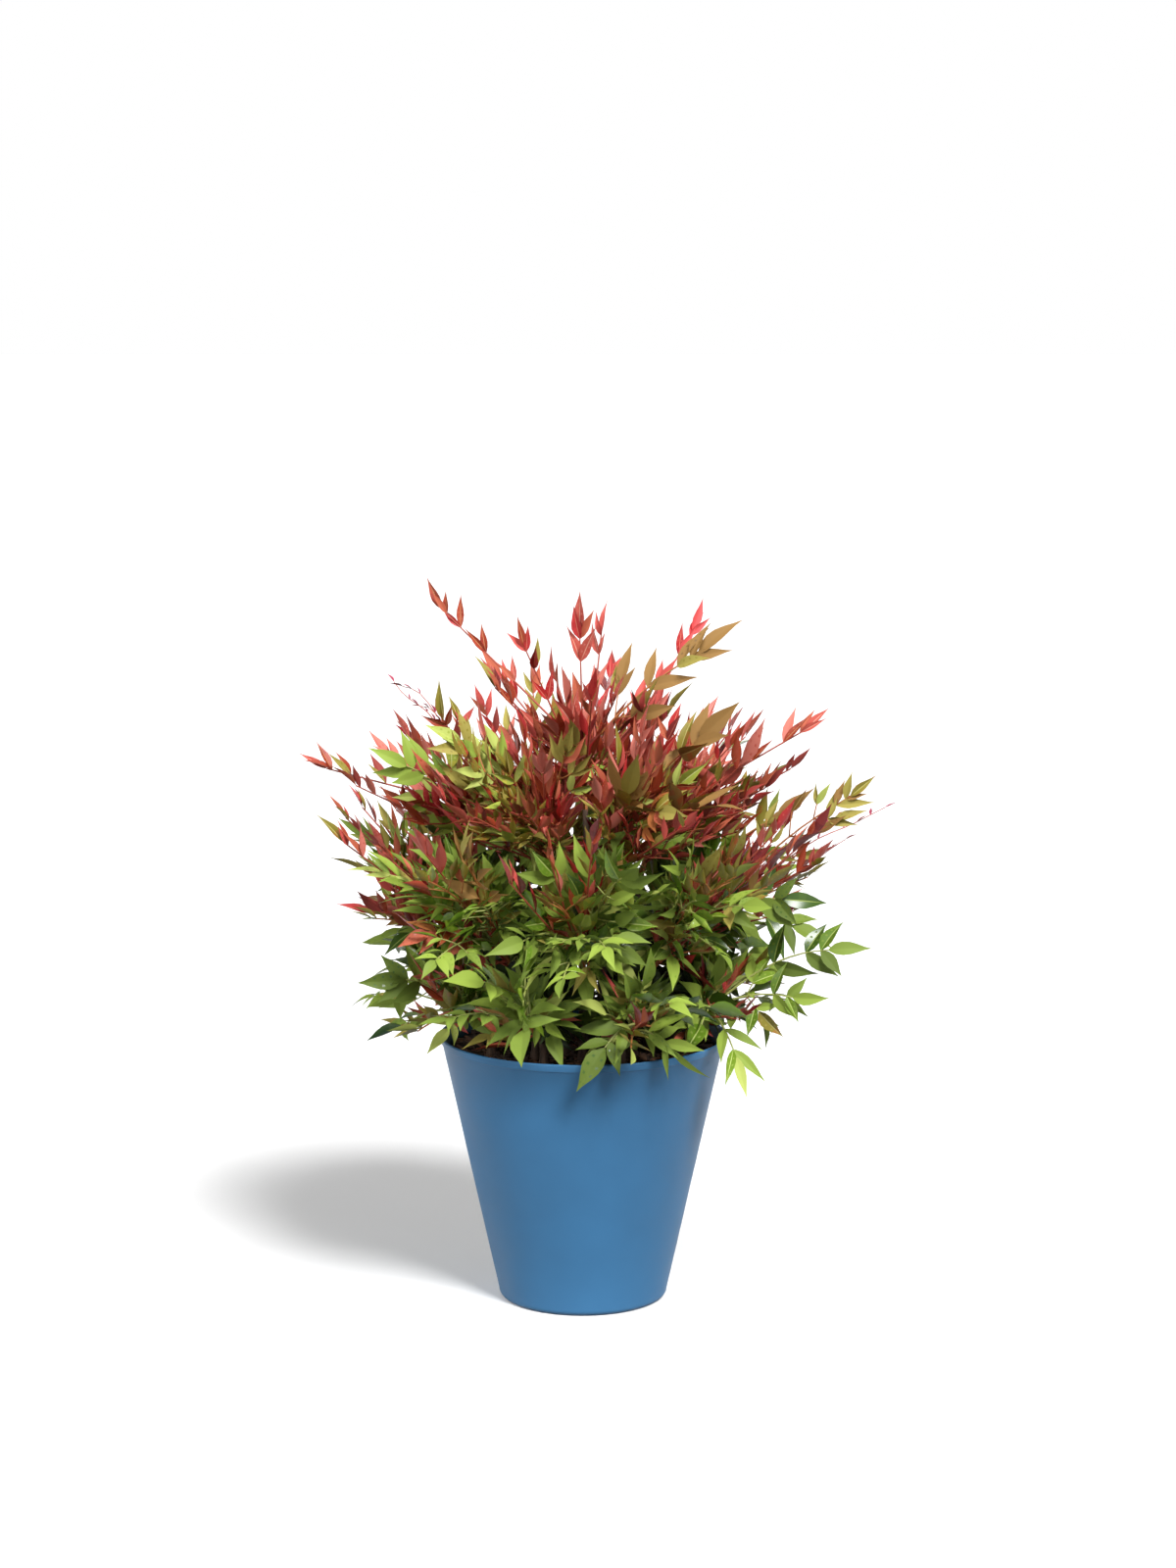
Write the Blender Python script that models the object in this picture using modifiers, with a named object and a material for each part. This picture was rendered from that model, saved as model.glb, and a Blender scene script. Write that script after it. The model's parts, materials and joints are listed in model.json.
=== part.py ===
"""Heavenly bamboo, a low garden kind with red young growth, in a plain tapered pot.

Metres, +Z up. The origin is the middle of the pot's flat underside, and +X is to the right of
someone who looks along +Y. Each cane rises from the potting mix and carries one mass of
foliage: a stem, fronds that branch from it by a seeded rule, and leaves fused to the fronds.
"""

import math
import random

import bmesh
import bpy
from mathutils import Matrix, Vector
from mathutils.bvhtree import BVHTree

# Pot
POT_HEIGHT = 0.263
POT_TOP_RADIUS = 0.140
POT_BASE_RADIUS = 0.082
POT_CORNER = 0.006
POT_WALL = 0.003
POT_FLOOR = 0.004
RIM_BAND_HEIGHT = 0.008
RIM_BAND_STEP = 0.0010
TURNED_STEPS = 36

# Potting mix
MIX_BELOW_RIM = 0.016
MIX_TOP = POT_HEIGHT - MIX_BELOW_RIM

# The gap that separate solids keep where they meet
CLEARANCE = 0.0003

# Crown: CROWN_REACH gives the distance from FOCUS to the crown's surface at each elevation
FOCUS = Vector((0.0, 0.0, 0.200))
CROWN_REACH = ((-15, 0.170), (0, 0.185), (15, 0.225), (23, 0.262), (30, 0.285), (38, 0.312),
               (46, 0.370), (52, 0.410), (60, 0.435), (70, 0.450), (90, 0.460))
CROWN_LOW = 0.212

# Tiers of masses: name, how many round, azimuth of the first, the radius and height of their
# middles, and the radius of the feet of their canes. Each mass has the space nearest its middle.
TIERS = (
    ("crest", 1, 0.0, 0.000, 0.545, 0.008),
    ("upper", 6, 0.0, 0.072, 0.480, 0.034),
    ("middle", 8, 0.0, 0.122, 0.380, 0.064),
    ("skirt", 8, 22.5, 0.136, 0.300, 0.096),
)
CELL_MARGIN = 0.0008

# Tips of the fronds that stand out of the crown
STANDING_TIPS = (
    (-0.161, 0.03, 0.702), (-0.069, -0.05, 0.679), (-0.004, -0.02, 0.700), (0.022, 0.05, 0.690),
    (0.122, 0.04, 0.684), (0.150, -0.06, 0.657), (0.247, 0.02, 0.578), (0.288, -0.04, 0.520),
    (0.298, 0.05, 0.477), (0.279, -0.08, 0.362), (0.233, -0.10, 0.407), (0.234, -0.09, 0.308),
    (0.158, -0.12, 0.229), (-0.283, 0.00, 0.534), (-0.203, -0.08, 0.552), (-0.184, 0.02, 0.609),
    (-0.242, 0.00, 0.383), (-0.209, -0.10, 0.332),
)

# Canes: six-sided, upright from a flared foot, then leaning out to where the stem begins
CANE_RADIUS = 0.0042
CANE_TAPER = 0.62
CANE_SIDES = 6
CANE_FLARE = 1.7
CANE_FLARE_HEIGHT = 0.012
CANE_STATIONS = 4
CANE_STRAIGHT_END = 0.006
CANE_UPRIGHT = 0.30

# Stems: a mass's stem runs on from its cane to the mass's middle
STEM_LONGEST = 0.060
STEM_SHARE = 0.60
STEM_ENTRY = 0.006
STEM_SIDES = 4
STEM_RADII = (0.0030, 0.0024)

# Fronds: where they leave the stem and where they end, and their shape
FROND_LEAVES_STEM = (0.20, 0.96)
GOLDEN_SHARE = 0.618
FROND_RADII = (0.0016, 0.0012)
FROND_STATIONS = 3
FROND_SIDES = 3
FROND_ARCH = 0.10
FROND_ROLL = 50.0
SHORTEST_FROND = 1.5
TIP_SPREAD = 0.23
TIP_CHOICES = 14
TIP_DEPTH = 0.64
TIP_INSIDE = 0.006
LEAST_LEAVES = 4
FROND_TRIES = 80

# Leaves: for each tier, how many in a mass, their length, and their width as a share of it
TIER_LEAVES = {
    "crest": (16, 0.068, 0.32),
    "upper": (16, 0.074, 0.34),
    "middle": (19, 0.084, 0.40),
    "skirt": (19, 0.082, 0.44),
}
LEAF_NODES = (0.84, 0.50)
PAIR_TURN = 120.0
LEAF_ANGLE = (32.0, 52.0)
LEAF_SIZES = (0.86, 1.06)
LEAF_THICKNESS = 0.030
LEAF_WIDEST = 0.40
LEAF_FOLD = 0.16
LEAF_ARCH = 0.06
LEAF_SUNK = 0.0003
TIP_LEAF_SUNK = 0.0015
LEAF_FOOT = 0.15

# How near two grown pieces may come, the shortest edge that a join keeps, and the random seed
TOUCH = 0.0006
SLIVER = 0.000004
SEED = 11000


def clear_scene():
    for obj in list(bpy.data.objects):
        bpy.data.objects.remove(obj)


def new_collection(name):
    collection = bpy.data.collections.new(name)
    bpy.context.scene.collection.children.link(collection)
    return collection


def new_material(name, colour, roughness):
    material = bpy.data.materials.new(name)
    material.use_nodes = True
    shader = material.node_tree.nodes["Principled BSDF"]
    shader.inputs["Base Color"].default_value = (*colour, 1.0)
    shader.inputs["Roughness"].default_value = roughness
    shader.inputs["Metallic"].default_value = 0.0
    return material


def new_object(name, mesh, collection, material=None):
    obj = bpy.data.objects.new(name, mesh)
    collection.objects.link(obj)
    if material:
        mesh.materials.append(material)
    return obj


def direction(azimuth, elevation):
    a, e = math.radians(azimuth), math.radians(elevation)
    return Vector((math.cos(a) * math.cos(e), math.sin(a) * math.cos(e), math.sin(e)))


def elevation_of(arm):
    return math.degrees(math.atan2(arm.z, arm.xy.length))


def reach_at(elevation):
    """The distance from FOCUS to the crown's surface at this elevation."""
    for (low, near), (high, far) in zip(CROWN_REACH, CROWN_REACH[1:]):
        if elevation <= high:
            share = max(0.0, (elevation - low) / (high - low))
            return near + (far - near) * share
    return CROWN_REACH[-1][1]


def bezier(a, b, c, t):
    """A point on the quadratic curve from a to c that b pulls towards itself."""
    return a * (1 - t) ** 2 + b * (2 * t * (1 - t)) + c * t**2


def part_way(points, share):
    """The point this share of the way along a chain of points, and the direction there."""
    place = share * (len(points) - 1)
    i = min(int(place), len(points) - 2)
    run = points[i + 1] - points[i]
    return points[i] + run * (place - i), run.normalized()


def arc(centre, radius, start, end, count):
    """Points of (radius, height) on an arc, its angles in degrees from the outward direction."""
    angles = [math.radians(start + (end - start) * i / (count - 1)) for i in range(count)]
    return [(centre[0] + radius * math.cos(a), centre[1] + radius * math.sin(a)) for a in angles]


def turned(name, profile, collection, material):
    """A solid of revolution from a profile of (radius, height) that runs down its outer side."""
    mesh = bpy.data.meshes.new(name)
    points = [(radius, 0.0, height) for radius, height in profile]
    mesh.from_pydata(points, [(i, i + 1) for i in range(len(points) - 1)], [])
    obj = new_object(name, mesh, collection, material)
    screw = obj.modifiers.new("Turn", "SCREW")
    screw.steps = screw.render_steps = TURNED_STEPS
    screw.use_merge_vertices = True
    screw.merge_threshold = 0.00001
    return obj


def wall_radius(height):
    """The pot's outer radius at a height, below its rim band."""
    return POT_BASE_RADIUS + (POT_TOP_RADIUS - POT_BASE_RADIUS) * height / POT_HEIGHT


def make_pot(collection, material):
    band_low = POT_HEIGHT - RIM_BAND_HEIGHT
    lip = POT_WALL / 2
    rim = (POT_TOP_RADIUS + RIM_BAND_STEP - lip, POT_HEIGHT - lip)
    corner = (wall_radius(POT_CORNER) - POT_CORNER, POT_CORNER)
    profile = [
        (0.0, POT_FLOOR),
        (wall_radius(POT_FLOOR) - POT_WALL, POT_FLOOR),
        (wall_radius(band_low) - POT_WALL, band_low),
        *arc(rim, lip, 180, 0, 5),
        (wall_radius(band_low) + RIM_BAND_STEP, band_low + RIM_BAND_STEP),
        (wall_radius(band_low), band_low),
        *arc(corner, POT_CORNER, 0, -90, 4),
        (0.0, 0.0),
    ]
    return turned("pot", profile, collection, material)


def make_mix(collection, material):
    low = POT_FLOOR + CLEARANCE
    inside = POT_WALL + CLEARANCE * 2
    profile = [
        (0.0, MIX_TOP),
        (wall_radius(MIX_TOP) - inside, MIX_TOP),
        (wall_radius(low) - inside, low),
        (0.0, low),
    ]
    return turned("potting_mix", profile, collection, material)


def masses():
    """One mass for each cane, with its middle, its cane's foot and a random source of its own."""
    found = []
    for tier, count, first, radius, height, foot in TIERS:
        for i in range(count):
            azimuth = first + 360.0 * i / count
            around = direction(azimuth, 0.0)
            found.append({
                "name": f"{tier}_{i + 1}" if count > 1 else tier,
                "tier": tier,
                "middle": around * radius + Vector((0.0, 0.0, height)),
                "foot": around * foot + Vector((0.0, 0.0, MIX_TOP + CLEARANCE)),
                "beside": direction(azimuth + 90.0, 0.0),
                "chance": random.Random(SEED + len(found)),
            })
    for mass in found:
        mass["walls"] = [
            ((mass["middle"] + other["middle"]) / 2, (mass["middle"] - other["middle"]).normalized())
            for other in found if other is not mass
        ]
    return found


def in_cell(mass, point, margin=CELL_MARGIN):
    """Whether a point is nearer this mass's middle than any other's, margin inside its walls."""
    return all((point - place).dot(inward) > margin for place, inward in mass["walls"])


def set_across(origin, ahead, up, scale):
    """A matrix that moves to origin, turns +Z to ahead and +Y as near as it can to up, and scales."""
    side = up.cross(ahead).normalized()
    turn = Matrix((side, ahead.cross(side), ahead)).transposed().to_4x4()
    return Matrix.Translation(origin) @ turn @ Matrix.Scale(scale, 4)


def limb_mesh(name, points, radii, sides, up):
    """A tapering limb: a disc at the first point, extruded from each point to the next."""
    last = len(points) - 1
    stations = []
    for i, point in enumerate(points):
        ahead = (points[min(i + 1, last)] - points[max(i - 1, 0)]).normalized()
        stations.append(set_across(point, ahead, up, radii[i]))
    bm = bmesh.new()
    bmesh.ops.create_circle(bm, cap_ends=True, segments=sides, radius=1.0, matrix=stations[0])
    end = bm.faces[:][0]
    for here, there in zip(stations, stations[1:]):
        grown = bmesh.ops.extrude_face_region(bm, geom=[end, *end.edges])["geom"]
        end = next(g for g in grown if isinstance(g, bmesh.types.BMFace))
        bmesh.ops.transform(bm, matrix=there @ here.inverted(), verts=end.verts)
    return mesh_of(bm, name)


def mesh_of(bm, name):
    """A new mesh with the bmesh's shape, its faces pointing out."""
    bmesh.ops.recalc_face_normals(bm, faces=bm.faces)
    mesh = bpy.data.meshes.new(name)
    bm.to_mesh(mesh)
    bm.free()
    return mesh


def taper(radii, count):
    """Radii that run evenly from the first to the second over a number of stations."""
    return [radii[0] + (radii[1] - radii[0]) * i / (count - 1) for i in range(count)]


def leaf_mesh(name, width):
    """A leaf of unit length along +Z: a sphere of eight faces, drawn flat and folded at its rib."""
    bm = bmesh.new()
    bmesh.ops.create_uvsphere(bm, u_segments=4, v_segments=2, radius=1.0)
    for v in bm.verts:
        across, through, along = v.co
        at_an_end = abs(along) > abs(across) + abs(through)
        if at_an_end:
            v.co = (0.0, 0.0, max(0.0, along))
        else:
            height = through * LEAF_THICKNESS / 2 + abs(across) * LEAF_FOLD * width + LEAF_ARCH
            v.co = (across * width / 2, height, LEAF_WIDEST)
    return mesh_of(bm, name)


def make_cane(mass, collection, material):
    """A cane, upright where it leaves the mix, leaning out to where it enters its mass."""
    collar = mass["foot"] + Vector((0.0, 0.0, CANE_FLARE_HEIGHT))
    middle = mass["middle"]
    bend = collar + Vector((0.0, 0.0, (middle.z - collar.z) * CANE_UPRIGHT))
    ahead = (middle - bend).normalized()
    length = min(STEM_LONGEST, (middle - bend).length * STEM_SHARE)
    while not in_cell(mass, middle - ahead * length, STEM_ENTRY):
        length -= STEM_ENTRY / 2
    mass["entry"] = middle - ahead * length
    mass["ahead"] = ahead
    last = CANE_STATIONS - 1
    near = mass["entry"] - ahead * CANE_STRAIGHT_END
    points = [bezier(collar, bend, near, i / last) for i in range(CANE_STATIONS)]
    points = [mass["foot"], *points, mass["entry"]]
    radii = taper((CANE_RADIUS, CANE_RADIUS * CANE_TAPER), CANE_STATIONS)
    radii = [CANE_RADIUS * CANE_FLARE, *radii, radii[-1]]
    mesh = limb_mesh("cane", points, radii, CANE_SIDES, mass["beside"])
    mesh.shade_smooth()
    return new_object(f"cane_{mass['name']}", mesh, collection, material)


def in_crown(point):
    """Whether a point lies in the shell where fronds end: out from the middle, not too low."""
    arm = point - FOCUS
    depth = arm.length / reach_at(elevation_of(arm))
    return TIP_DEPTH < depth < 1.0 and point.z > CROWN_LOW


def next_tip(mass, tips):
    """Where the mass's next frond ends: in its space, well away from the tips that it has."""
    chance = mass["chance"]
    choices = []
    while len(choices) < TIP_CHOICES:
        stray = Vector([chance.uniform(-TIP_SPREAD, TIP_SPREAD) for _ in range(3)])
        tip = mass["middle"] + stray
        if in_crown(tip) and in_cell(mass, tip, TIP_INSIDE):
            choices.append(tip)
    apart = [min([(c - t).length for t in [mass["middle"], *tips]]) for c in choices]
    return choices[apart.index(max(apart))]


def tree_of(mesh):
    """The mesh's faces, in a form that can be tested against others for a touch."""
    points = [v.co for v in mesh.vertices]
    return BVHTree.FromPolygons(points, [list(p.vertices) for p in mesh.polygons], epsilon=TOUCH)


class Growth:
    """The stem, fronds and leaves of one mass, kept to its own space and clear of the limbs."""

    def __init__(self, mass, limbs, leaf, scrap):
        self.mass, self.limbs, self.leaf, self.scrap = mass, limbs, leaf, scrap
        self.most, self.length, _ = TIER_LEAVES[mass["tier"]]
        self.grown = []
        self.leaf_places = []
        self.frond_places = []

    def clear(self, points, polygons):
        """Whether a shape stays in the mass's space, above the mix and off every limb."""
        if not all(in_cell(self.mass, p) for p in points):
            return False
        if any(p.z < MIX_TOP + TOUCH and p.xy.length < POT_TOP_RADIUS for p in points):
            return False
        tree = BVHTree.FromPolygons(points, polygons, epsilon=TOUCH)
        return not any(limb.overlap(tree) for limb in self.limbs)

    def add(self, mesh, matrix=None):
        piece = new_object("growth", mesh, self.scrap)
        if matrix:
            piece.matrix_world = matrix
        return piece

    def grow_leaf(self, root, along, normal, length):
        """One leaf, unless it would leave the space or touch a limb or another leaf.

        Only its outer part is tested against the mass's own leaves, as pairs meet at the root.
        """
        matrix = set_across(root, along, normal, length)
        points = [matrix @ v.co for v in self.leaf.vertices]
        polygons = [list(p.vertices) for p in self.leaf.polygons]
        if not self.clear(points, polygons):
            return
        outer = [root + (p - root) * (1.0 - LEAF_FOOT) + along * length * LEAF_FOOT for p in points]
        tree = BVHTree.FromPolygons(outer, polygons, epsilon=TOUCH)
        others = [self.stem_place, *self.frond_places, *self.leaf_places]
        if any(other.overlap(tree) for other in others):
            return
        self.leaf_places.append(tree)
        self.grown.append(self.add(self.leaf, matrix))

    def grow_frond(self, base, tip, least):
        """A frond from base to tip: a rachis, pairs of leaves at its nodes and one at its end.

        A frond with room for fewer than the least number of leaves is taken back.
        """
        chance = self.mass["chance"]
        run = tip - base
        length = min(self.length, run.length / SHORTEST_FROND)
        arch = Vector((0.0, 0.0, run.length * FROND_ARCH))
        end = tip - (run / 2 - arch).normalized() * length
        pull = (base + end) / 2 + arch
        last = FROND_STATIONS - 1
        points = [bezier(base, pull, end, i / last) for i in range(FROND_STATIONS)]
        roll = math.radians(chance.uniform(-FROND_ROLL, FROND_ROLL))
        above = Matrix.Rotation(roll, 3, run) @ run.cross(self.mass["beside"])
        rachis = limb_mesh("rachis", points, taper(FROND_RADII, FROND_STATIONS), FROND_SIDES, above)
        outer = [v.co for v in rachis.vertices]
        past_the_stem = [p for p in rachis.polygons if min(p.vertices) >= FROND_SIDES]
        polygons = [list(p.vertices) for p in past_the_stem]
        tree = BVHTree.FromPolygons(outer, polygons, epsilon=TOUCH)
        crossed = any(other.overlap(tree) for other in [*self.leaf_places, *self.frond_places])
        if crossed or not self.clear(outer, polygons):
            bpy.data.meshes.remove(rachis)
            return
        self.frond_places.append(tree)
        first, bare = len(self.grown), len(self.leaf_places)
        self.grown.append(self.add(rachis))
        ahead = (points[-1] - points[-2]).normalized()
        to_tip = (tip - end).normalized()
        self.grow_leaf(end - ahead * TIP_LEAF_SUNK, to_tip, above, length)
        for node in LEAF_NODES:
            root, ahead = part_way(points, node)
            above = Matrix.Rotation(math.radians(PAIR_TURN), 3, ahead) @ above
            side = ahead.cross(above).normalized()
            for hand in (-1, 1):
                angle = math.radians(chance.uniform(*LEAF_ANGLE))
                way = ahead * math.cos(angle) + side * hand * math.sin(angle)
                size = length * chance.uniform(*LEAF_SIZES)
                self.grow_leaf(root - way * LEAF_SUNK, way, above, size)
        if len(self.leaf_places) - bare < least:
            for piece in self.grown[first:]:
                bpy.data.objects.remove(piece)
            del self.grown[first:], self.leaf_places[bare:], self.frond_places[-1]

    def grow(self):
        """Grows the whole mass and returns its stem, which the rest is still to be joined to."""
        mass = self.mass
        points = [mass["entry"] + mass["ahead"] * CLEARANCE, mass["middle"]]
        stem = self.add(limb_mesh("stem", points, STEM_RADII, STEM_SIDES, mass["beside"]))
        self.stem_place = tree_of(stem.data)
        tips = [Vector(tip) for tip in STANDING_TIPS if in_cell(mass, Vector(tip), 0.0)]
        standing = len(tips)
        for i in range(FROND_TRIES):
            if i >= standing:
                if len(self.leaf_places) >= self.most:
                    break
                tips.append(next_tip(mass, tips))
            low, high = FROND_LEAVES_STEM
            share = high - (high - low) * (i * GOLDEN_SHARE % 1.0)
            least = LEAST_LEAVES if i >= standing else 1
            self.grow_frond(part_way(points, share)[0], tips[i], least)
        return stem


def join(stem, pieces, name, collection, material):
    """Unites the stem with the pieces grown on it, as one solid that replaces them all."""
    group = new_collection("pieces")
    for piece in pieces:
        group.objects.link(piece)
    union = stem.modifiers.new("Join", "BOOLEAN")
    union.operation = "UNION"
    union.operand_type = "COLLECTION"
    union.collection = group
    union.solver = "EXACT"
    bpy.context.view_layer.update()
    graph = bpy.context.evaluated_depsgraph_get()
    mesh = bpy.data.meshes.new_from_object(stem.evaluated_get(graph))
    keep_largest(mesh)
    for piece in [*pieces, stem]:
        bpy.data.objects.remove(piece)
    bpy.data.collections.remove(group)
    mesh.name = name
    mesh.materials.clear()
    return new_object(name, mesh, collection, material)


def keep_largest(mesh):
    """Drops loose scraps and the skins of sealed hollows, which leaves the hollows solid."""
    bm = bmesh.new()
    bm.from_mesh(mesh)
    bmesh.ops.triangulate(bm, faces=bm.faces)
    bmesh.ops.dissolve_degenerate(bm, dist=SLIVER, edges=bm.edges)
    bmesh.ops.triangulate(bm, faces=bm.faces)
    left, shells = set(bm.faces), []
    while left:
        shell = [left.pop()]
        for face in shell:
            near = {other for e in face.edges for other in e.link_faces} & left
            left -= near
            shell.extend(near)
        shells.append(shell)
    shells.sort(key=len)
    bmesh.ops.delete(bm, geom=[f for shell in shells[:-1] for f in shell], context="FACES")
    bm.to_mesh(mesh)
    bm.free()


def main():
    clear_scene()
    plant = new_collection("heavenly_bamboo")
    scrap = new_collection("growing")
    plastic = new_material("pot plastic", (0.070, 0.190, 0.360), 0.5)
    mix = new_material("potting mix", (0.045, 0.028, 0.018), 0.95)
    bark = new_material("cane bark", (0.085, 0.050, 0.032), 0.85)
    tints = {
        "crest": new_material("red foliage", (0.420, 0.045, 0.035), 0.45),
        "middle": new_material("bronze foliage", (0.240, 0.090, 0.025), 0.45),
        "skirt": new_material("green foliage", (0.085, 0.170, 0.020), 0.40),
    }
    tints["upper"] = tints["crest"]
    pot = make_pot(plant, plastic)
    make_mix(plant, mix)
    canopy = masses()
    canes = [make_cane(mass, plant, bark) for mass in canopy]
    bpy.context.view_layer.update()
    graph = bpy.context.evaluated_depsgraph_get()
    limbs = [BVHTree.FromObject(obj, graph) for obj in [pot, *canes]]
    leaves = {tier: leaf_mesh("leaf", width) for tier, (_, _, width) in TIER_LEAVES.items()}
    for mass in canopy:
        growth = Growth(mass, limbs, leaves[mass["tier"]], scrap)
        stem = growth.grow()
        name = f"foliage_{mass['name']}"
        join(stem, growth.grown, name, plant, tints[mass["tier"]])
    bpy.data.collections.remove(scrap)


main()
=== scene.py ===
"""Heavenly bamboo in a plain tapered pot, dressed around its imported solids.

Metres, +Z up, with the origin in the middle of the pot's underside. Each mass of foliage is
grown by the same rule as its solid and carried to finer twigs: a stem, fronds that branch from
it, pairs of small branches on each frond, and leaflets in threes and fives on those.
"""

import json
import math
import random
from collections import namedtuple

import bmesh
import bpy
import numpy as np
from mathutils import Matrix, Vector, noise
from mathutils.bvhtree import BVHTree

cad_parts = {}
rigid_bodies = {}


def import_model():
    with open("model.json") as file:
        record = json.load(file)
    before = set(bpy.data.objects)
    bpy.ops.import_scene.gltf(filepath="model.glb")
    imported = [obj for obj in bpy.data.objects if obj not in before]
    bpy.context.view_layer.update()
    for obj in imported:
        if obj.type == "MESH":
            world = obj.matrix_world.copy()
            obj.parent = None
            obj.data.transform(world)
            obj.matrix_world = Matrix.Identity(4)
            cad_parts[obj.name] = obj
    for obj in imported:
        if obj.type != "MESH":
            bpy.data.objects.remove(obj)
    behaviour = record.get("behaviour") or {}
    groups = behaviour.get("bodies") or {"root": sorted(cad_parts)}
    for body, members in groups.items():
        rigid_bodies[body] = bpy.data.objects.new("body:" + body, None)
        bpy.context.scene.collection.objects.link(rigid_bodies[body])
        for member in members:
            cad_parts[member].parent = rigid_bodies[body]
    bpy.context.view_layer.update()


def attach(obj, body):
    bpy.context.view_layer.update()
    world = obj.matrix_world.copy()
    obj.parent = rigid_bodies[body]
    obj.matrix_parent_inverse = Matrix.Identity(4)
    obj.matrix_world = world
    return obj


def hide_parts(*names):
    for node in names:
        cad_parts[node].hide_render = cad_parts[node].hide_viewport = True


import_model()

bl_info = {
    "name": "Heavenly Bamboo",
    "version": (1, 0, 0),
    "blender": (4, 5, 0),
    "location": "3D View > Sidebar > Heavenly Bamboo",
    "description": "A potted heavenly bamboo: pot, potting mix, canes, twigs and leaves",
    "category": "Add Mesh",
}

BODY = "root"

# Crown: the distance from FOCUS to the crown's surface at each elevation
FOCUS = Vector((0.0, 0.0, 0.200))
FRONT = Vector((0.0, -1.0, 0.0))
UP = Vector((0.0, 0.0, 1.0))
CROWN_REACH = ((-15, 0.170), (0, 0.185), (15, 0.225), (23, 0.262), (30, 0.285), (38, 0.312),
               (46, 0.370), (52, 0.410), (60, 0.435), (70, 0.450), (90, 0.460))
# The lowest place for the tip of a frond that grows by chance, and for any leaflet
LOWEST_TIP = 0.262
LOWEST_LEAF = 0.199

# Tiers of masses: how many round, the azimuth of the first, the radius and height of their
# middles, the radius of the feet of their canes, the finish, the fronds of each mass, and how many
# of those there are to each that ends in the crown's open rim. Each mass has the space nearest its
# own middle.
Tier = namedtuple("Tier", "name count first radius height foot slot fronds far_every")
TIERS = (
    Tier("crest", 1, 0.0, 0.000, 0.545, 0.008, "foliage_red", 30, 7),
    Tier("upper", 6, 0.0, 0.072, 0.480, 0.034, "foliage_red", 46, 7),
    Tier("middle", 8, 0.0, 0.122, 0.380, 0.064, "foliage_bronze", 50, 5),
    Tier("skirt", 8, 22.5, 0.136, 0.300, 0.096, "foliage_green", 42, 10),
)

# How far the full part of the crown reaches from FOCUS at each elevation, to the left and to the
# right; outside it the crown's rim is open
FULL_LEFT = ((-15, 0.120), (24, 0.140), (30, 0.158), (36, 0.205), (38, 0.245), (41, 0.285),
             (44, 0.302), (49, 0.338), (54, 0.366), (60, 0.374), (66, 0.374), (72, 0.386),
             (80, 0.396), (90, 0.396))
FULL_RIGHT = ((-15, 0.120), (24, 0.145), (30, 0.172), (36, 0.206), (41, 0.234), (45, 0.260),
              (51, 0.292), (54, 0.340), (57, 0.366), (62, 0.382), (69, 0.390), (80, 0.396),
              (90, 0.396))

# Fronds that show, most of them from the front: where each ends, and its look
SHOWN_FRONDS = (
    (-.161, .03, .702, "brick"), (-.069, -.05, .679, "crimson"), (-.004, -.02, .7, "rose"),
    (.022, .05, .69, "brick"), (.122, .04, .684, "scarlet"), (.152, -.06, .664, "bronze"),
    (.15, -.1, .592, "bronze"), (.247, .02, .578, "brick"), (.288, -.04, .52, "olive"),
    (.298, .05, .477, "shoot"), (.279, -.08, .362, "deep"), (.233, -.1, .407, "deep"),
    (.234, -.09, .308, "fresh"), (.158, -.12, .229, "blade"), (-.283, 0, .534, "brick"),
    (-.203, -.08, .552, "broad"), (-.184, .02, .609, "shoot"), (-.242, 0, .383, "crimson"),
    (-.209, -.1, .332, "deep"), (.095, -.1, .6, "crimson"), (-.145, -.12, .582, "lime"),
    (-.085, -.14, .56, "olive"), (-.172, -.14, .374, "orange"), (-.256, -.05, .481, "brick"),
    (.2, -.08, .531, "crimson"), (.18, -.12, .46, "brick"), (.175, -.13, .31, "burgundy"),
    (.045, -.2, .43, "blade"), (-.008, -.16, .58, "olive"), (.114, -.14, .539, "olive"),
    (-.031, -.17, .543, "crimson"), (.07, -.14, .585, "rose"), (.086, -.17, .505, "orange"),
    (-.022, -.09, .632, "rose"), (.042, -.08, .626, "rose"), (.078, -.05, .616, "crimson"),
    (-.108, -.03, .632, "brick"), (-.105, -.145, .279, "olive"), (.005, -.165, .262, "deep"),
    (.1, -.155, .262, "blade"), (-.137, -.08, .272, "lime"), (.035, .13, .625, "crimson"),
    (-.055, .13, .622, "brick"), (.085, .11, .605, "rose"), (-.115, .1, .6, "crimson"),
    (.01, -.135, .628, "crimson"), (.062, -.15, .602, "rose"), (-.06, -.15, .6, "brick"),
)


def mixture(text):
    """Names with their weights, from a text such as "green 6, fresh 2"."""
    return {name: float(weight) for name, weight in (item.split() for item in text.split(", "))}


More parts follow.
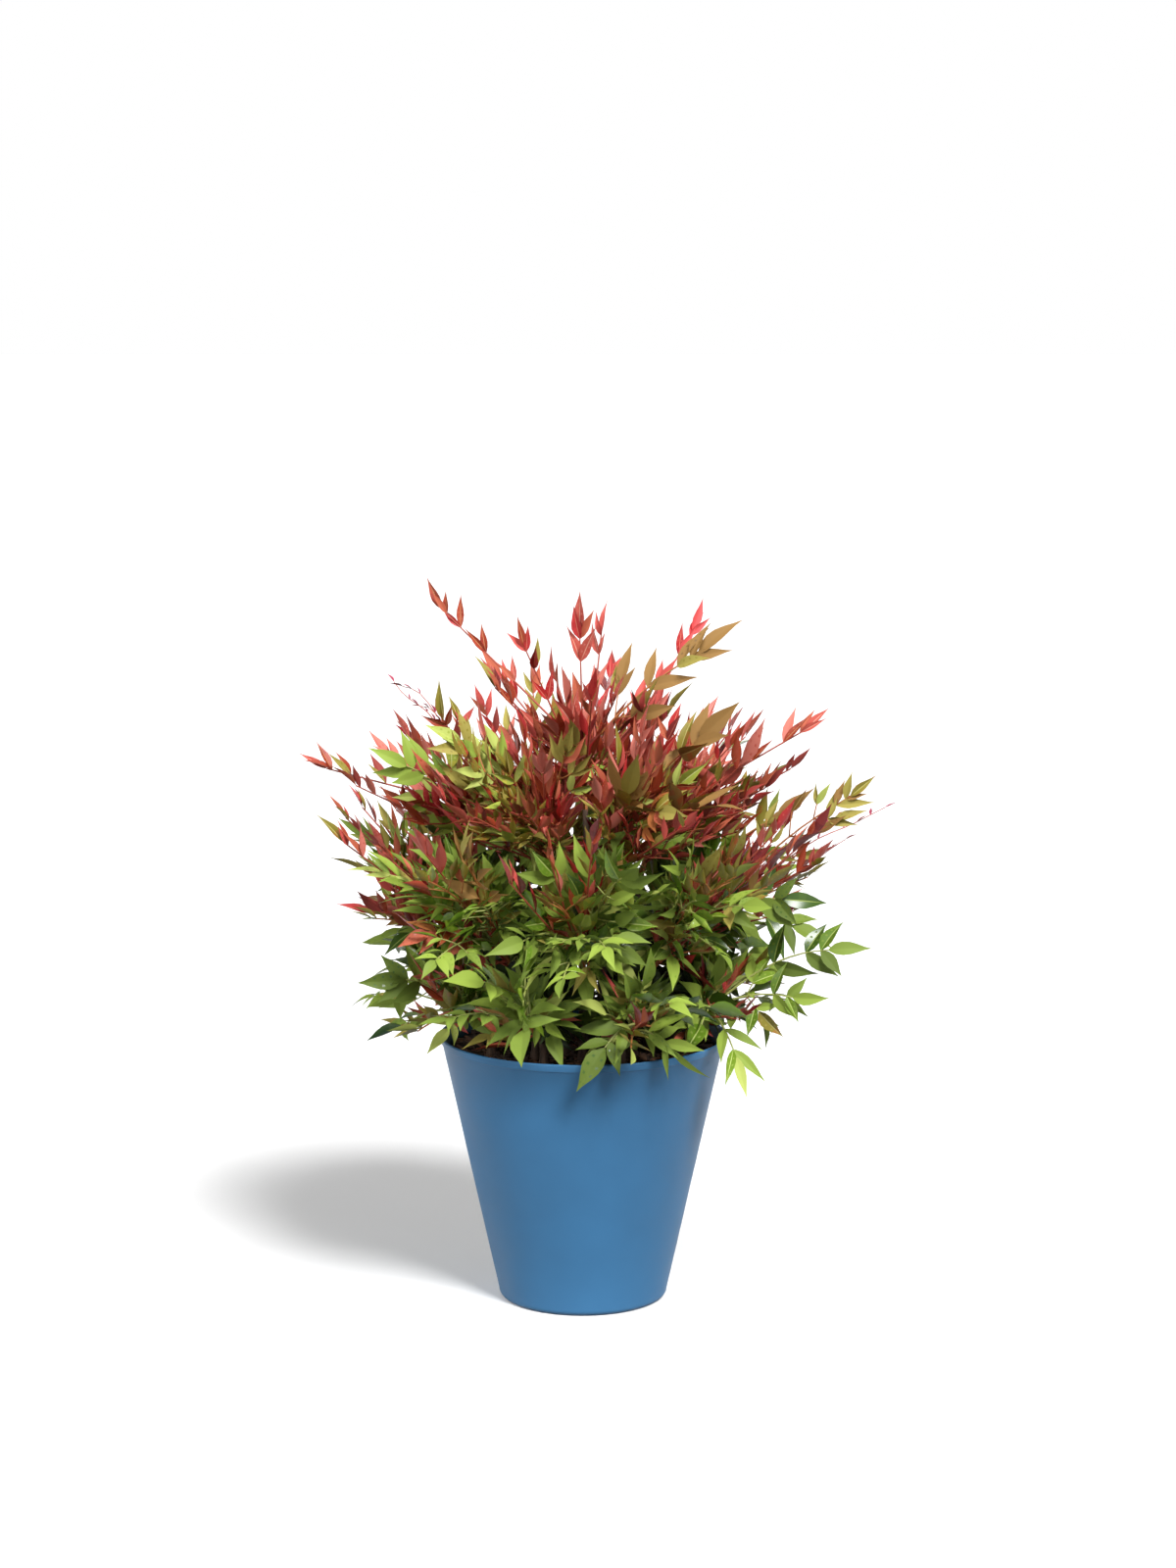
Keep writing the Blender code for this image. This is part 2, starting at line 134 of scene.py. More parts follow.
# How the leaflets of a frond look: their tints, their length, their width as a share of it, how far
# they spread from the twig in degrees, how strongly they rise, their shape, and the twig's tint
Look = namedtuple("Look", "tints length width spread rise shape twig")
LOOKS = {
    "scarlet": Look(mixture("scarlet 8, crimson 2"), .032, .24, 26, .90, "young", "red"),
    "crimson": Look(mixture("crimson 5, brick 2, burgundy 2, olive 1"),
                    .035, .25, 28, .80, "young", "red"),
    "rose": Look(mixture("rose 7, crimson 1, brick 2"), .041, .27, 30, .70, "young", "red"),
    "brick": Look(mixture("brick 5, crimson 1, rose 2, burgundy 1, olive 1.5"),
                  .035, .24, 28, .80, "young", "red"),
    "burgundy": Look(mixture("burgundy 4, crimson 2, brick 3, olive 1"),
                     .033, .26, 34, .60, "young", "red"),
    "bronze": Look(mixture("bronze 6, olive 3"), .051, .29, 38, .50, "grown", "tan"),
    "olive": Look(mixture("olive 6, bronze 1, lime 2, brick 1"),
                  .036, .27, 34, .45, "young", "tan"),
    "orange": Look(mixture("orange 7, brick 2, olive 1"), .036, .38, 42, .15, "grown", "tan"),
    "lime": Look(mixture("lime 7, fresh 2, olive 1"), .042, .33, 38, .35, "grown", "green"),
    "broad": Look(mixture("lime 5, fresh 5"), .044, .36, 44, .25, "grown", "green"),
    "fresh": Look(mixture("fresh 6, green 4, lime .4, olive .6"),
                  .036, .38, 48, .10, "grown", "green"),
    "green": Look(mixture("green 6, fresh 2, deep 2"), .036, .39, 48, .06, "grown", "green"),
    "deep": Look(mixture("deep 7, green 3"), .045, .38, 46, .00, "grown", "green"),
    "blade": Look(mixture("fresh 4, green 4, lime 2"), .048, .24, 30, .12, "grown", "green"),
    # The next two looks are painted shade: the fronds in the crown's core get far darker leaves in place
    # of the shade inside the crown, green lower down and red higher up
    "shaded": Look(mixture("shade 6, deep 2"), .036, .38, 48, .10, "grown", "green"),
    "shaded_red": Look(mixture("dusk 6, burgundy 2"), .035, .25, 30, .70, "young", "red"),
    "shoot": Look(mixture("magenta 8, burgundy 2"), .013, .28, 40, .10, "young", "red"),
}

# How common each look is, up to each height of a frond's tip
ZONES = (
    (0.300, mixture("fresh 3, green 4, deep 3, lime .4, blade 1, burgundy 2, olive 4, brick 1")),
    (0.350, mixture("fresh 6, green 4, deep 2, lime .4, blade 2, burgundy 1.2, olive 3, brick .4")),
    (0.400, mixture("fresh 5, green 5, deep 2, lime .7, blade 2.5, burgundy .7, olive 3")),
    (0.440, mixture("olive 4, green 4, fresh 4, blade 2.5, brick .8, burgundy .6, lime .8")),
    (0.480, mixture("brick 1.4, crimson .4, burgundy 1, olive 5, bronze .3, lime .6, blade 2, green 3.5")),
    (0.540, mixture("crimson 2.6, rose 1.4, brick 3.4, bronze .5, burgundy 1.6, olive 3, lime .4")),
    (9.000, mixture("rose 4, crimson 2.5, brick 3, bronze .2")),
)

# Where the mixture differs from that of its height: the middle and size of each patch
PATCHES = (
    ((-0.220, -0.06, 0.510), 0.065, mixture("broad 2, brick 5, crimson 2, green 1")),
    ((-0.110, -0.13, 0.550), 0.055, mixture("lime .7, olive 3, crimson 4, brick 1")),
    ((0.225, -0.06, 0.470), 0.102, mixture("brick 4, burgundy 4, olive 1.6, crimson 1.4")),
    ((-0.215, -0.05, 0.420), 0.062, mixture("brick 3, crimson 2, olive 2, deep 2")),
    ((0.050, -0.17, 0.440), 0.060, mixture("blade 2, green 3, olive 4, deep 2, brick 1")),
)

# Leaf tints: the upper side, the underside, the midrib and the margin, linear
TINTS = {
    "scarlet": ((.74, .045, .052), (.70, .10, .10), (.76, .25, .20), (.68, .028, .036)),
    "crimson": ((.43, .028, .028), (.52, .085, .070), (.60, .19, .13), (.36, .018, .020)),
    "rose": ((.50, .098, .072), (.58, .17, .13), (.64, .32, .24), (.46, .070, .050)),
    "brick": ((.32, .046, .018), (.43, .105, .055), (.50, .24, .11), (.26, .026, .011)),
    "burgundy": ((.17, .017, .016), (.26, .045, .036), (.38, .12, .08), (.12, .010, .010)),
    "bronze": ((.185, .096, .020), (.27, .15, .045), (.38, .26, .09), (.23, .066, .015)),
    "olive": ((.230, .190, .025), (.32, .27, .060), (.46, .42, .14), (.30, .150, .026)),
    "orange": ((.38, .075, .014), (.44, .15, .045), (.54, .30, .12), (.34, .044, .010)),
    "lime": ((.28, .34, .050), (.38, .44, .10), (.54, .58, .22), (.40, .38, .055)),
    "fresh": ((.155, .252, .018), (.24, .33, .048), (.43, .52, .14), (.21, .30, .030)),
    "green": ((.094, .172, .012), (.17, .24, .037), (.34, .42, .11), (.13, .21, .020)),
    "deep": ((.042, .090, .009), (.10, .145, .022), (.24, .30, .07), (.055, .11, .012)),
    # The next two tints are painted shade, green and red, for the leaves of fronds in the crown's core
    # where shade falls
    "shade": ((.010, .021, .004), (.026, .042, .009), (.050, .075, .020), (.018, .032, .006)),
    "dusk": ((.048, .007, .006), (.075, .017, .014), (.12, .036, .026), (.036, .005, .005)),
    "magenta": ((.26, .018, .055), (.34, .05, .09), (.38, .09, .12), (.20, .011, .042)),
}
TWIG_TINTS = {"red": (.36, .065, .038), "tan": (.42, .150, .045), "green": (.31, .340, .090)}
TWIGS = list(TWIG_TINTS)
CHIP_TINTS = {"dark": (.060, .034, .022), "brown": (.13, .065, .036), "red brown": (.24, .095, .042)}

CAMERA_PLACE = (0.005, -2.9708, 0.9275)
CAMERA_PITCH = -8.0


def settings():
    """The sizes and colours that the sidebar holds."""
    return bpy.context.scene.heavenly_bamboo


# ---------------------------------------------------------------- measures and random choices


def outward(azimuth):
    a = math.radians(azimuth)
    return Vector((math.cos(a), math.sin(a), 0.0))


def swung(ahead, side, degrees):
    """The direction this far round from ahead towards side."""
    angle = math.radians(degrees)
    return ahead * math.cos(angle) + side * math.sin(angle)


def elevation_of(arm):
    return math.degrees(math.atan2(arm.z, arm.xy.length))


def reach_at(elevation, table=CROWN_REACH):
    """The distance from FOCUS to the crown's surface at this elevation."""
    for (low, near), (high, far) in zip(table, table[1:]):
        if elevation <= high:
            share = max(0.0, (elevation - low) / (high - low))
            return near + (far - near) * share
    return table[-1][1]


def crown_reach(arm):
    """How far the crown's open rim reaches from FOCUS along this arm."""
    return reach_at(elevation_of(arm))


def full_reach(arm):
    """How far the full part of the crown reaches from FOCUS along this arm."""
    elevation = elevation_of(arm)
    share = 0.5 + 0.5 * arm.x / max(arm.xy.length, 0.05)
    return reach_at(elevation, FULL_LEFT) * (1.0 - share) + reach_at(elevation, FULL_RIGHT) * share


def bezier(a, b, c, t):
    """A point on the quadratic curve from a to c that b pulls towards itself."""
    return a * (1 - t) ** 2 + b * (2 * t * (1 - t)) + c * t**2


def part_way(points, share):
    """The point this share of the way along a chain of points, and the direction there."""
    place = share * (len(points) - 1)
    i = min(int(place), len(points) - 2)
    run = points[i + 1] - points[i]
    return points[i] + run * (place - i), run.normalized()


def pick(chance, weights):
    """One of the names, by their weights."""
    names = list(weights)
    return chance.choices(names, [weights[name] for name in names])[0]


def square_to(vector, run):
    """The vector with its part along run taken out, at unit length."""
    return (vector - run * vector.dot(run)).normalized()


# ---------------------------------------------------------------- meshes, pieces and materials


# What is read from a mesh and written to it: the collection, the field, the kind of its values and
# how many there are to an item
FIELDS = {
    "points": ("vertices", "co", np.float32, 3),
    "edges": ("edges", "vertices", np.int32, 2),
    "corners": ("loops", "vertex_index", np.int32, 1),
    "corner_edges": ("loops", "edge_index", np.int32, 1),
    "totals": ("polygons", "loop_total", np.int32, 1),
    "materials": ("polygons", "material_index", np.int32, 1),
    "sharp": ("edges", "use_edge_sharp", bool, 1),
}


def shape_arrays(bm):
    """A bmesh's points, edges and faces as arrays, for a shape that is repeated many times."""
    mesh = bpy.data.meshes.new("shape")
    bm.to_mesh(mesh)
    bm.free()
    arrays = {}
    for key, (collection, field, kind, width) in FIELDS.items():
        items = getattr(mesh, collection)
        values = np.empty(len(items) * width, kind)
        items.foreach_get(field, values)
        arrays[key] = values.reshape(-1, width)
    bpy.data.meshes.remove(mesh)
    return arrays


def joined_mesh(name, groups):
    """One mesh of many copies. Each group is a shape's arrays, the copies' points and materials."""
    joined = {key: [] for key in FIELDS}
    first_point = first_edge = 0
    for shape, placed, materials in groups:
        copies = np.arange(len(placed), dtype=np.int32)
        point_step = first_point + len(shape["points"]) * copies
        edge_step = first_edge + len(shape["edges"]) * copies
        for key, step in (("edges", point_step), ("corners", point_step),
                          ("corner_edges", edge_step), ("totals", 0 * copies),
                          ("materials", materials), ("sharp", 0 * copies)):
            joined[key].append((shape[key] + step[:, None, None]).reshape(-1))
        joined["points"].append(placed.reshape(-1))
        first_point += len(shape["points"]) * len(copies)
        first_edge += len(shape["edges"]) * len(copies)
    values = {key: np.concatenate(found).astype(FIELDS[key][2]) for key, found in joined.items()}
    totals = values.pop("totals")
    mesh = bpy.data.meshes.new(name)
    mesh.vertices.add(first_point)
    mesh.edges.add(first_edge)
    mesh.loops.add(int(totals.sum()))
    mesh.polygons.add(len(totals))
    mesh.polygons.foreach_set("loop_start", (np.cumsum(totals) - totals).astype(np.int32))
    for key, found in values.items():
        collection, field = FIELDS[key][:2]
        getattr(mesh, collection).foreach_set(field, found)
    mesh.update()
    mesh.validate()
    mesh.shade_smooth()
    mesh.edges.foreach_set("use_edge_sharp", values["sharp"])
    return mesh


def new_piece(name, mesh, materials, slot, replaced=()):
    """A finished piece: an object at the origin that rides on the body."""
    for old in [obj for obj in bpy.data.objects if obj.name == name]:
        bpy.data.objects.remove(old)
    piece = bpy.data.objects.new(name, mesh)
    bpy.context.scene.collection.objects.link(piece)
    for material in materials:
        mesh.materials.append(material)
    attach(piece, BODY)
    if replaced:
        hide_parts(*replaced)
    return piece


def node_material(name):
    """The material of this name, which is made if it isn't there yet."""
    material = bpy.data.materials.get(name) or bpy.data.materials.new(name)
    material.use_nodes = True
    return material


def plain_material(name, colour, roughness, shine=0.5):
    """One even colour with its gloss, as a single leaf or twig has."""
    material = node_material(name)
    inputs = material.node_tree.nodes["Principled BSDF"].inputs
    inputs["Base Color"].default_value = (*colour, 1.0)
    inputs["Roughness"].default_value = roughness
    inputs["Specular IOR Level"].default_value = shine
    return material


def set_stops(ramp, stops):
    """Gives a colour ramp these places and colours."""
    elements = ramp.color_ramp.elements
    while len(elements) < len(stops):
        elements.new(0.5)
    for element, (place, colour) in zip(elements, stops):
        element.position = place
        element.color = (*colour, 1.0)


class Nodes:
    """A procedural material as it is put together: nodes are made, linked and named in one call."""

    def __init__(self, name, roughness):
        self.material = node_material(name)
        self.tree = self.material.node_tree
        self.tree.nodes.clear()
        self.output = self.tree.nodes.new("ShaderNodeOutputMaterial")
        self.shader = self.tree.nodes.new("ShaderNodeBsdfPrincipled")
        self.shader.inputs["Roughness"].default_value = roughness
        self.link(self.shader.outputs["BSDF"], self.output.inputs["Surface"])
        self.place = self.tree.nodes.new("ShaderNodeTexCoord").outputs["Object"]

    def link(self, out, into):
        self.tree.links.new(out, into)

    def node(self, kind, source, into, **values):
        """A node that source is linked into, with values for its other inputs."""
        node = self.tree.nodes.new(kind)
        self.link(source, node.inputs[into])
        for name, value in values.items():
            node.inputs[name.replace("_", " ")].default_value = value
        return node

    def stretched(self, scale):
        return self.node("ShaderNodeMapping", self.place, "Vector", Scale=scale).outputs["Vector"]

    def noise(self, scale, detail=3.0, roughness=0.5, place=None):
        return self.node("ShaderNodeTexNoise", place or self.place, "Vector", Scale=scale,
                         Detail=detail, Roughness=roughness).outputs["Fac"]

    def colour(self, value, stops):
        """Colours the surface by this value, through a ramp."""
        ramp = self.node("ShaderNodeValToRGB", value, "Fac")
        set_stops(ramp, stops)
        self.link(ramp.outputs["Color"], self.shader.inputs["Base Color"])

    def scaled(self, value, low, high):
        return self.node("ShaderNodeMapRange", value, "Value", From_Min=0.3, From_Max=0.7,
                         To_Min=low, To_Max=high).outputs["Result"]

    def bump(self, value, strength, distance):
        node = self.node("ShaderNodeBump", value, "Height", Strength=strength, Distance=distance)
        self.link(node.outputs["Normal"], self.shader.inputs["Normal"])


def fibrous_material(name, dark, light, scale, stretch, strength, depth):
    """Bark in two colours, with its fibres drawn out or packed along Z."""
    nodes = Nodes(name, 0.85)
    fibres = nodes.noise(scale, 5.0, 0.6, nodes.stretched((1.0, 1.0, stretch)))
    nodes.colour(fibres, ((0.3, dark), (0.7, light)))
    nodes.bump(fibres, strength, depth)
    return nodes.material


def mesh_from(bm, name):
    bmesh.ops.recalc_face_normals(bm, faces=bm.faces)
    mesh = bpy.data.meshes.new(name)
    bm.to_mesh(mesh)
    bm.free()
    return mesh


# ---------------------------------------------------------------- pot and potting mix


def arc(centre, radius, start, end, count):
    """Points of (radius, height) on an arc, its angles in degrees from the outward direction."""
    angles = [math.radians(start + (end - start) * i / (count - 1)) for i in range(count)]
    return [(centre[0] + radius * math.cos(a), centre[1] + radius * math.sin(a)) for a in angles]


def spun(profile, steps):
    """A closed solid of revolution from a profile that starts and ends on the axis."""
    bm = bmesh.new()
    verts = [bm.verts.new((radius, 0.0, height)) for radius, height in profile]
    edges = [bm.edges.new(pair) for pair in zip(verts, verts[1:])]
    bmesh.ops.spin(bm, geom=[*verts, *edges], axis=(0, 0, 1), cent=(0, 0, 0),
                   angle=math.tau, steps=steps, use_merge=True)
    bmesh.ops.remove_doubles(bm, verts=bm.verts, dist=0.00001)
    return bm


def wall_radius(height):
    """The pot's outer radius at a height, below its rim band."""
    pot = settings().pot
    return pot.base_radius + (pot.top_radius - pot.base_radius) * height / pot.height


def mix_level():
    """The usual height of the mix's surface."""
    return settings().pot.height - settings().mix.below_rim


def pot_profile():
    """The pot's section: from the middle of its floor up inside, over the rim and down outside."""
    pot = settings().pot
    fillet, band_edge = 0.003, 0.0008
    foot_width, foot_slope, recess = 0.004, 0.0005, 0.0006
    inner_foot = wall_radius(pot.floor) - pot.wall - fillet
    band_low = pot.height - pot.band_height
    wall_top = wall_radius(band_low)
    lip = pot.wall / 2
    corner = wall_radius(pot.corner) - pot.corner
    heights = [pot.corner + (band_low - pot.corner) * i / 5 for i in range(4, 0, -1)]
    return [
        (0.0, pot.floor),
        (inner_foot, pot.floor),
        *arc((inner_foot, pot.floor + fillet), fillet, -80, 0, 4),
        (wall_top - pot.wall, band_low),
        *arc((pot.top_radius + pot.band_step - lip, pot.height - lip), lip, 180, 0, 9),
        *arc((wall_top + pot.band_step - band_edge, band_low + band_edge), band_edge, 0, -80, 4),
        (wall_top, band_low - band_edge / 2),
        *[(wall_radius(height), height) for height in heights],
        *arc((corner, pot.corner), pot.corner, 5, -90, 8),
        (corner - foot_width, 0.0),
        (corner - foot_width - foot_slope, recess),
        (0.0, recess),
    ]


def pot_material():
    colour = settings().pot.colour
    nodes = Nodes("pot plastic", 0.42)
    cloudy = nodes.noise(9.0, 3.0)
    nodes.colour(cloudy, ((0.35, [c * 0.93 for c in colour]),
                          (0.65, [min(1.0, c * 1.06) for c in colour])))
    nodes.link(nodes.scaled(cloudy, 0.42, 0.52), nodes.shader.inputs["Roughness"])
    nodes.shader.inputs["Specular IOR Level"].default_value = 0.25
    nodes.bump(nodes.noise(900.0, 2.0), 0.05, 0.0002)
    return nodes.material


def mix_material():
    nodes = Nodes("potting mix", 0.95)
    crumbs = nodes.noise(160.0, 6.0, 0.65)
    nodes.colour(crumbs, ((0.35, (.008, .005, .004)), (0.55, (.045, .027, .017)),
                          (0.75, (.11, .066, .040))))
    nodes.bump(crumbs, 0.8, 0.002)
    return nodes.material


def mix_top(x, y):
    """The height of the mix's surface at a place."""
    swell = noise.noise(Vector((x * 22, y * 22, 1.7)))
    crumbs = 0.5 * noise.noise(Vector((x * 70, y * 70, 5.1)))
    return mix_level() + settings().mix.roughness * (swell + crumbs)


def mix_mesh():
    """A full body of mix down to the pot's floor, with an uneven crumbly top."""
    pot, level = settings().pot, mix_level()
    rings, clearance, fillet = 44, 0.0004, 0.003
    inside, low = pot.wall + clearance, pot.floor + clearance
    edge = wall_radius(level - 0.004) - inside
    profile = [(edge * i / rings, level) for i in range(rings + 1)]
    profile += [(wall_radius(low) - inside - fillet, low), (0.0, low)]
    bm = spun(profile, 120)
    for v in bm.verts:
        if v.co.z > level - 0.001:
            v.co.z = mix_top(v.co.x, v.co.y)
    return mesh_from(bm, "potting_mix_body")


def chip_shape():
    """A splinter of bark: a box with its long edges bevelled and its ends drawn in."""
    bm = bmesh.new()
    bmesh.ops.create_cube(bm, size=1.0)
    long_edges = [e for e in bm.edges if abs(e.verts[0].co.x - e.verts[1].co.x) > 0.5]
    bmesh.ops.bevel(bm, geom=long_edges, offset=0.22, offset_type="OFFSET", segments=1,
                    profile=0.5, affect="EDGES", material=-1)
    for v in bm.verts:
        if v.co.x > 0:
            v.co.y *= 0.55
            v.co.z *= 0.7
    bmesh.ops.recalc_face_normals(bm, faces=bm.faces)
    for e in bm.edges:
        e.smooth = False
    return shape_arrays(bm)


def chips_mesh():
    """Loose chips that lie at random on the mix, inside the pot's wall."""
    mix = settings().mix
    chance = random.Random(mix.seed)
    shape = chip_shape()
    placed, tints = [], []
    reach = wall_radius(mix_level()) - 0.008
    for _ in range(mix.chips):
        azimuth, radius = chance.uniform(0, math.tau), reach * math.sqrt(chance.random())
        x, y = radius * math.cos(azimuth), radius * math.sin(azimuth)
        long = mix.chip_length * chance.uniform(0.4, 1.25)
        size = Matrix.Diagonal((long, long * chance.uniform(0.22, 0.5),
                                long * chance.uniform(0.10, 0.22)))
        turn = (Matrix.Rotation(chance.uniform(0, math.tau), 3, "Z")
                @ Matrix.Rotation(chance.gauss(0, 0.28), 3, "X")
                @ Matrix.Rotation(chance.gauss(0, 0.22), 3, "Y"))
        points = shape["points"] @ np.array(turn @ size).T + (x, y, mix_top(x, y) + 0.0012)
        if np.linalg.norm(points[:, :2], axis=1).max() < reach + 0.006:
            placed.append(points)
            tints.append(chance.choices((0, 1, 2), (6, 3, 1))[0])
    return joined_mesh("bark_chips", [(shape, np.array(placed), np.array(tints))])


# ---------------------------------------------------------------- limbs


def tube_shape(stations, sides):
    """A tube of unit radius with its stations one apart, its ends closed."""
    bm = bmesh.new()
    bmesh.ops.create_circle(bm, cap_ends=True, segments=sides, radius=1.0)
    end = bm.faces[:][0]
    for _ in range(stations - 1):
        grown = bmesh.ops.extrude_face_region(bm, geom=[end, *end.edges])["geom"]
        end = next(g for g in grown if isinstance(g, bmesh.types.BMFace))
        bmesh.ops.translate(bm, vec=(0, 0, 1), verts=end.verts)
    bmesh.ops.recalc_face_normals(bm, faces=bm.faces)
    for face in (bm.faces[:][0], end):
        for e in face.edges:
            e.smooth = False
    return shape_arrays(bm)


class Tubes:
    """Tapering tubes collected for one mesh, each with its line, radii and material."""

    def __init__(self, sides):
        self.sides = sides
        self.groups = {}

    def add(self, points, radii, up, material=0, relief=None):
        line = np.array([tuple(p) for p in points])
        ahead = np.gradient(line, axis=0)
        ahead /= np.linalg.norm(ahead, axis=1)[:, None]
        side = np.cross(np.array(up), ahead)
        side /= np.linalg.norm(side, axis=1)[:, None]
        over = np.cross(ahead, side)
        if len(line) not in self.groups:
            self.groups[len(line)] = (tube_shape(len(line), self.sides), [], [])
        shape, placed, materials = self.groups[len(line)]
        at = np.round(shape["points"][:, 2]).astype(int)
        x, y = shape["points"][:, 0], shape["points"][:, 1]
        radius = np.array(radii)[at]
        if relief is not None:
            radius = radius * relief(at / (len(line) - 1), np.arctan2(y, x))
        placed.append(line[at] + (radius * x)[:, None] * side[at] + (radius * y)[:, None] * over[at])
        materials.append(material)

    def mesh(self, name):
        groups = [(s, np.array(p), np.array(m)) for s, p, m in self.groups.values()]
        return joined_mesh(name, groups)


def masses():
    """One mass for each cane, with its middle, its cane's foot and a random source of its own."""
    found = []
    for tier in TIERS:
        for i in range(tier.count):
            azimuth = tier.first + 360.0 * i / tier.count
            around = outward(azimuth)
            found.append({
                "name": f"{tier.name}_{i + 1}" if tier.count > 1 else tier.name,
                "tier": tier,
                "middle": around * tier.radius + UP * tier.height,
                "foot": around * tier.foot + UP * mix_level(),
                "beside": outward(azimuth + 90.0),
                "chance": random.Random(settings().foliage.seed + len(found)),
            })
    for mass in found:
        mass["walls"] = [
            ((mass["middle"] + other["middle"]) / 2, (mass["middle"] - other["middle"]).normalized())
            for other in found if other is not mass
        ]
        lay_cane(mass)
    return found


def in_cell(mass, point, margin=0.0):
    """Whether a point is nearer this mass's middle than any other's, margin inside its walls."""
    return all((point - place).dot(inward) > margin for place, inward in mass["walls"])


def lay_cane(mass):
    """The line of the mass's cane: upright from its foot, then leaning out to its mass."""
    cane = settings().canes
    middle = mass["middle"]
    collar = mass["foot"] + UP * 0.012
    bend = collar + UP * ((middle.z - collar.z) * 0.30)
    ahead = (middle - bend).normalized()
    length = min(0.060, (middle - bend).length * 0.60)
    while not in_cell(mass, middle - ahead * length, 0.006):
        length -= 0.003
    mass["entry"] = middle - ahead * length
    mass["ahead"] = ahead
    near = mass["entry"] - ahead * 0.006
    steps = max(12, int((near - collar).length / cane.station))
    line = [bezier(collar, bend, near, i / steps) for i in range(steps + 1)]
    mass["cane"] = [mass["foot"] - UP * 0.004, mass["foot"], *line, mass["entry"]]


def cane_relief(chance):
    """The bark's relief: ridges that run up the cane, and the ring left by each old leaf."""
    cane = settings().canes
    phase = chance.uniform(0, math.tau)
    rings = sorted(chance.uniform(0.1, 0.97) for _ in range(cane.rings))

    def relief(share, angle):
        ridges = np.cos(angle * 7 + phase) * 0.5 + np.cos(angle * 11 + phase * 2 + share * 5) * 0.5
        swell = 1.0 + cane.ridge * ridges + 0.04 * np.sin(share * 37 + angle + phase)
        for ring in rings:
            gap = (share - ring) * 60
            lopsided = 1 + 0.5 * np.cos(angle - phase - ring * 40)
            swell = swell + cane.ring * np.exp(-gap * gap) * lopsided
        return swell

    return relief


def canes_mesh():
    cane = settings().canes
    tubes = Tubes(cane.sides)
    for mass in masses():
        line = mass["cane"]
        last = len(line) - 3
        radii = [cane.radius * (1 + (cane.taper - 1) * max(0, i - 2) / last)
                 for i in range(len(line))]
        radii[0] = radii[1] = cane.radius * 1.5
        relief = cane_relief(random.Random(f"cane {mass['name']}"))
        tubes.add(line, radii, mass["beside"], 0, relief)
    return tubes.mesh("canes")


# ---------------------------------------------------------------- foliage


# A leaf's section, from its right margin over the upper side to its left and back underneath:
# place across in half widths, and height in lengths
SECTION = ((1.0, 0.0), (0.86, 0.008), (0.08, 0.004), (-0.08, 0.004), (-0.86, 0.008),
           (-1.0, 0.0), (0.0, -0.010))
UPPER, UNDER, RIB, MARGIN = range(4)
# Along a leaf: the place of each station and its half width
OUTLINES = {
    "young": ((0.0, 0.0), (0.06, 0.26), (0.19, 0.74), (0.36, 1.0), (0.53, 0.86), (0.70, 0.50),
              (0.86, 0.17), (1.0, 0.0)),
    "grown": ((0.0, 0.0), (0.06, 0.30), (0.19, 0.78), (0.36, 1.0), (0.53, 0.92), (0.70, 0.60),
              (0.86, 0.22), (1.0, 0.0)),
}
# How each form of leaf is bent: the arch down its length, the slope of its fold, its twist and
# its drift to one side
LEAF_FORMS = {
    "young": ((0.03, 0.50, 0.0, 0.0), (0.10, 0.70, 0.35, 0.10), (-0.05, 0.42, -0.35, -0.10),
              (0.16, 0.85, 0.15, 0.16), (0.06, 0.60, -0.2, -0.20)),
    "grown": ((0.10, 0.36, 0.0, 0.0), (0.24, 0.28, 0.30, 0.12), (0.17, 0.46, -0.35, -0.12),
              (0.03, 0.22, 0.20, -0.16), (0.34, 0.34, 0.10, 0.10)),
}
USUAL_WIDTH = 0.3
# How a frond arches as a share of its length, up to each rise of its look
FROND_ARCHES = ((0.2, 0.16), (0.6, 0.10), (0.85, 0.0), (9.0, -0.14))


def leaf_shape(outline, arch, fold, twist, drift):
    """A leaf of unit length and half width along +Z: a sphere, drawn flat, folded and arched."""
    around, along = len(SECTION), len(outline) - 1
    bm = bmesh.new()
    bmesh.ops.create_uvsphere(bm, u_segments=around, v_segments=along, radius=1.0)
    for v in bm.verts:
        ring = round(math.acos(max(-1.0, min(1.0, v.co.z))) / math.pi * along)
        step = round(math.atan2(v.co.y, v.co.x) / math.tau * around) % around
        t, half = outline[along - ring]
        across, height = SECTION[step] if 0 < ring < along else (0.0, 0.0)
        x = across * half * 0.5
        y = height * half + abs(x) * fold
        turn = twist * t
        x, y = x * math.cos(turn) - y * math.sin(turn), x * math.sin(turn) + y * math.cos(turn)
        v.co = (x + drift * t * t, y - arch * t * t / USUAL_WIDTH, t)
    bmesh.ops.recalc_face_normals(bm, faces=bm.faces)
    return bm


def marked_leaf(outline, form):
    """The leaf's arrays, each face marked upper side, underside, midrib or margin."""
    flat = leaf_shape(outline, 0.0, 0.0, 0.0, 0.0)
    kinds = []
    for face in flat.faces:
        middle = face.calc_center_median()
        across = max(abs(v.co.x) for v in face.verts)
        if face.normal.y < 0:
            kinds.append(UNDER)
        elif abs(middle.x) < 0.015 and across < 0.06:
            kinds.append(RIB)
        elif abs(middle.x) > 0.80 * across or middle.z > 0.86:
            kinds.append(MARGIN)
        else:
            kinds.append(UPPER)
    flat.free()
    bm = leaf_shape(outline, *form)
    for face, kind in zip(bm.faces, kinds):
        face.material_index = kind
    for e in bm.edges:
        sides = {f.material_index for f in e.link_faces}
        e.smooth = len(sides) == 1 or not sides & {UNDER, RIB}
    return shape_arrays(bm)


Leaf = namedtuple("Leaf", "root ahead normal length width form tint")


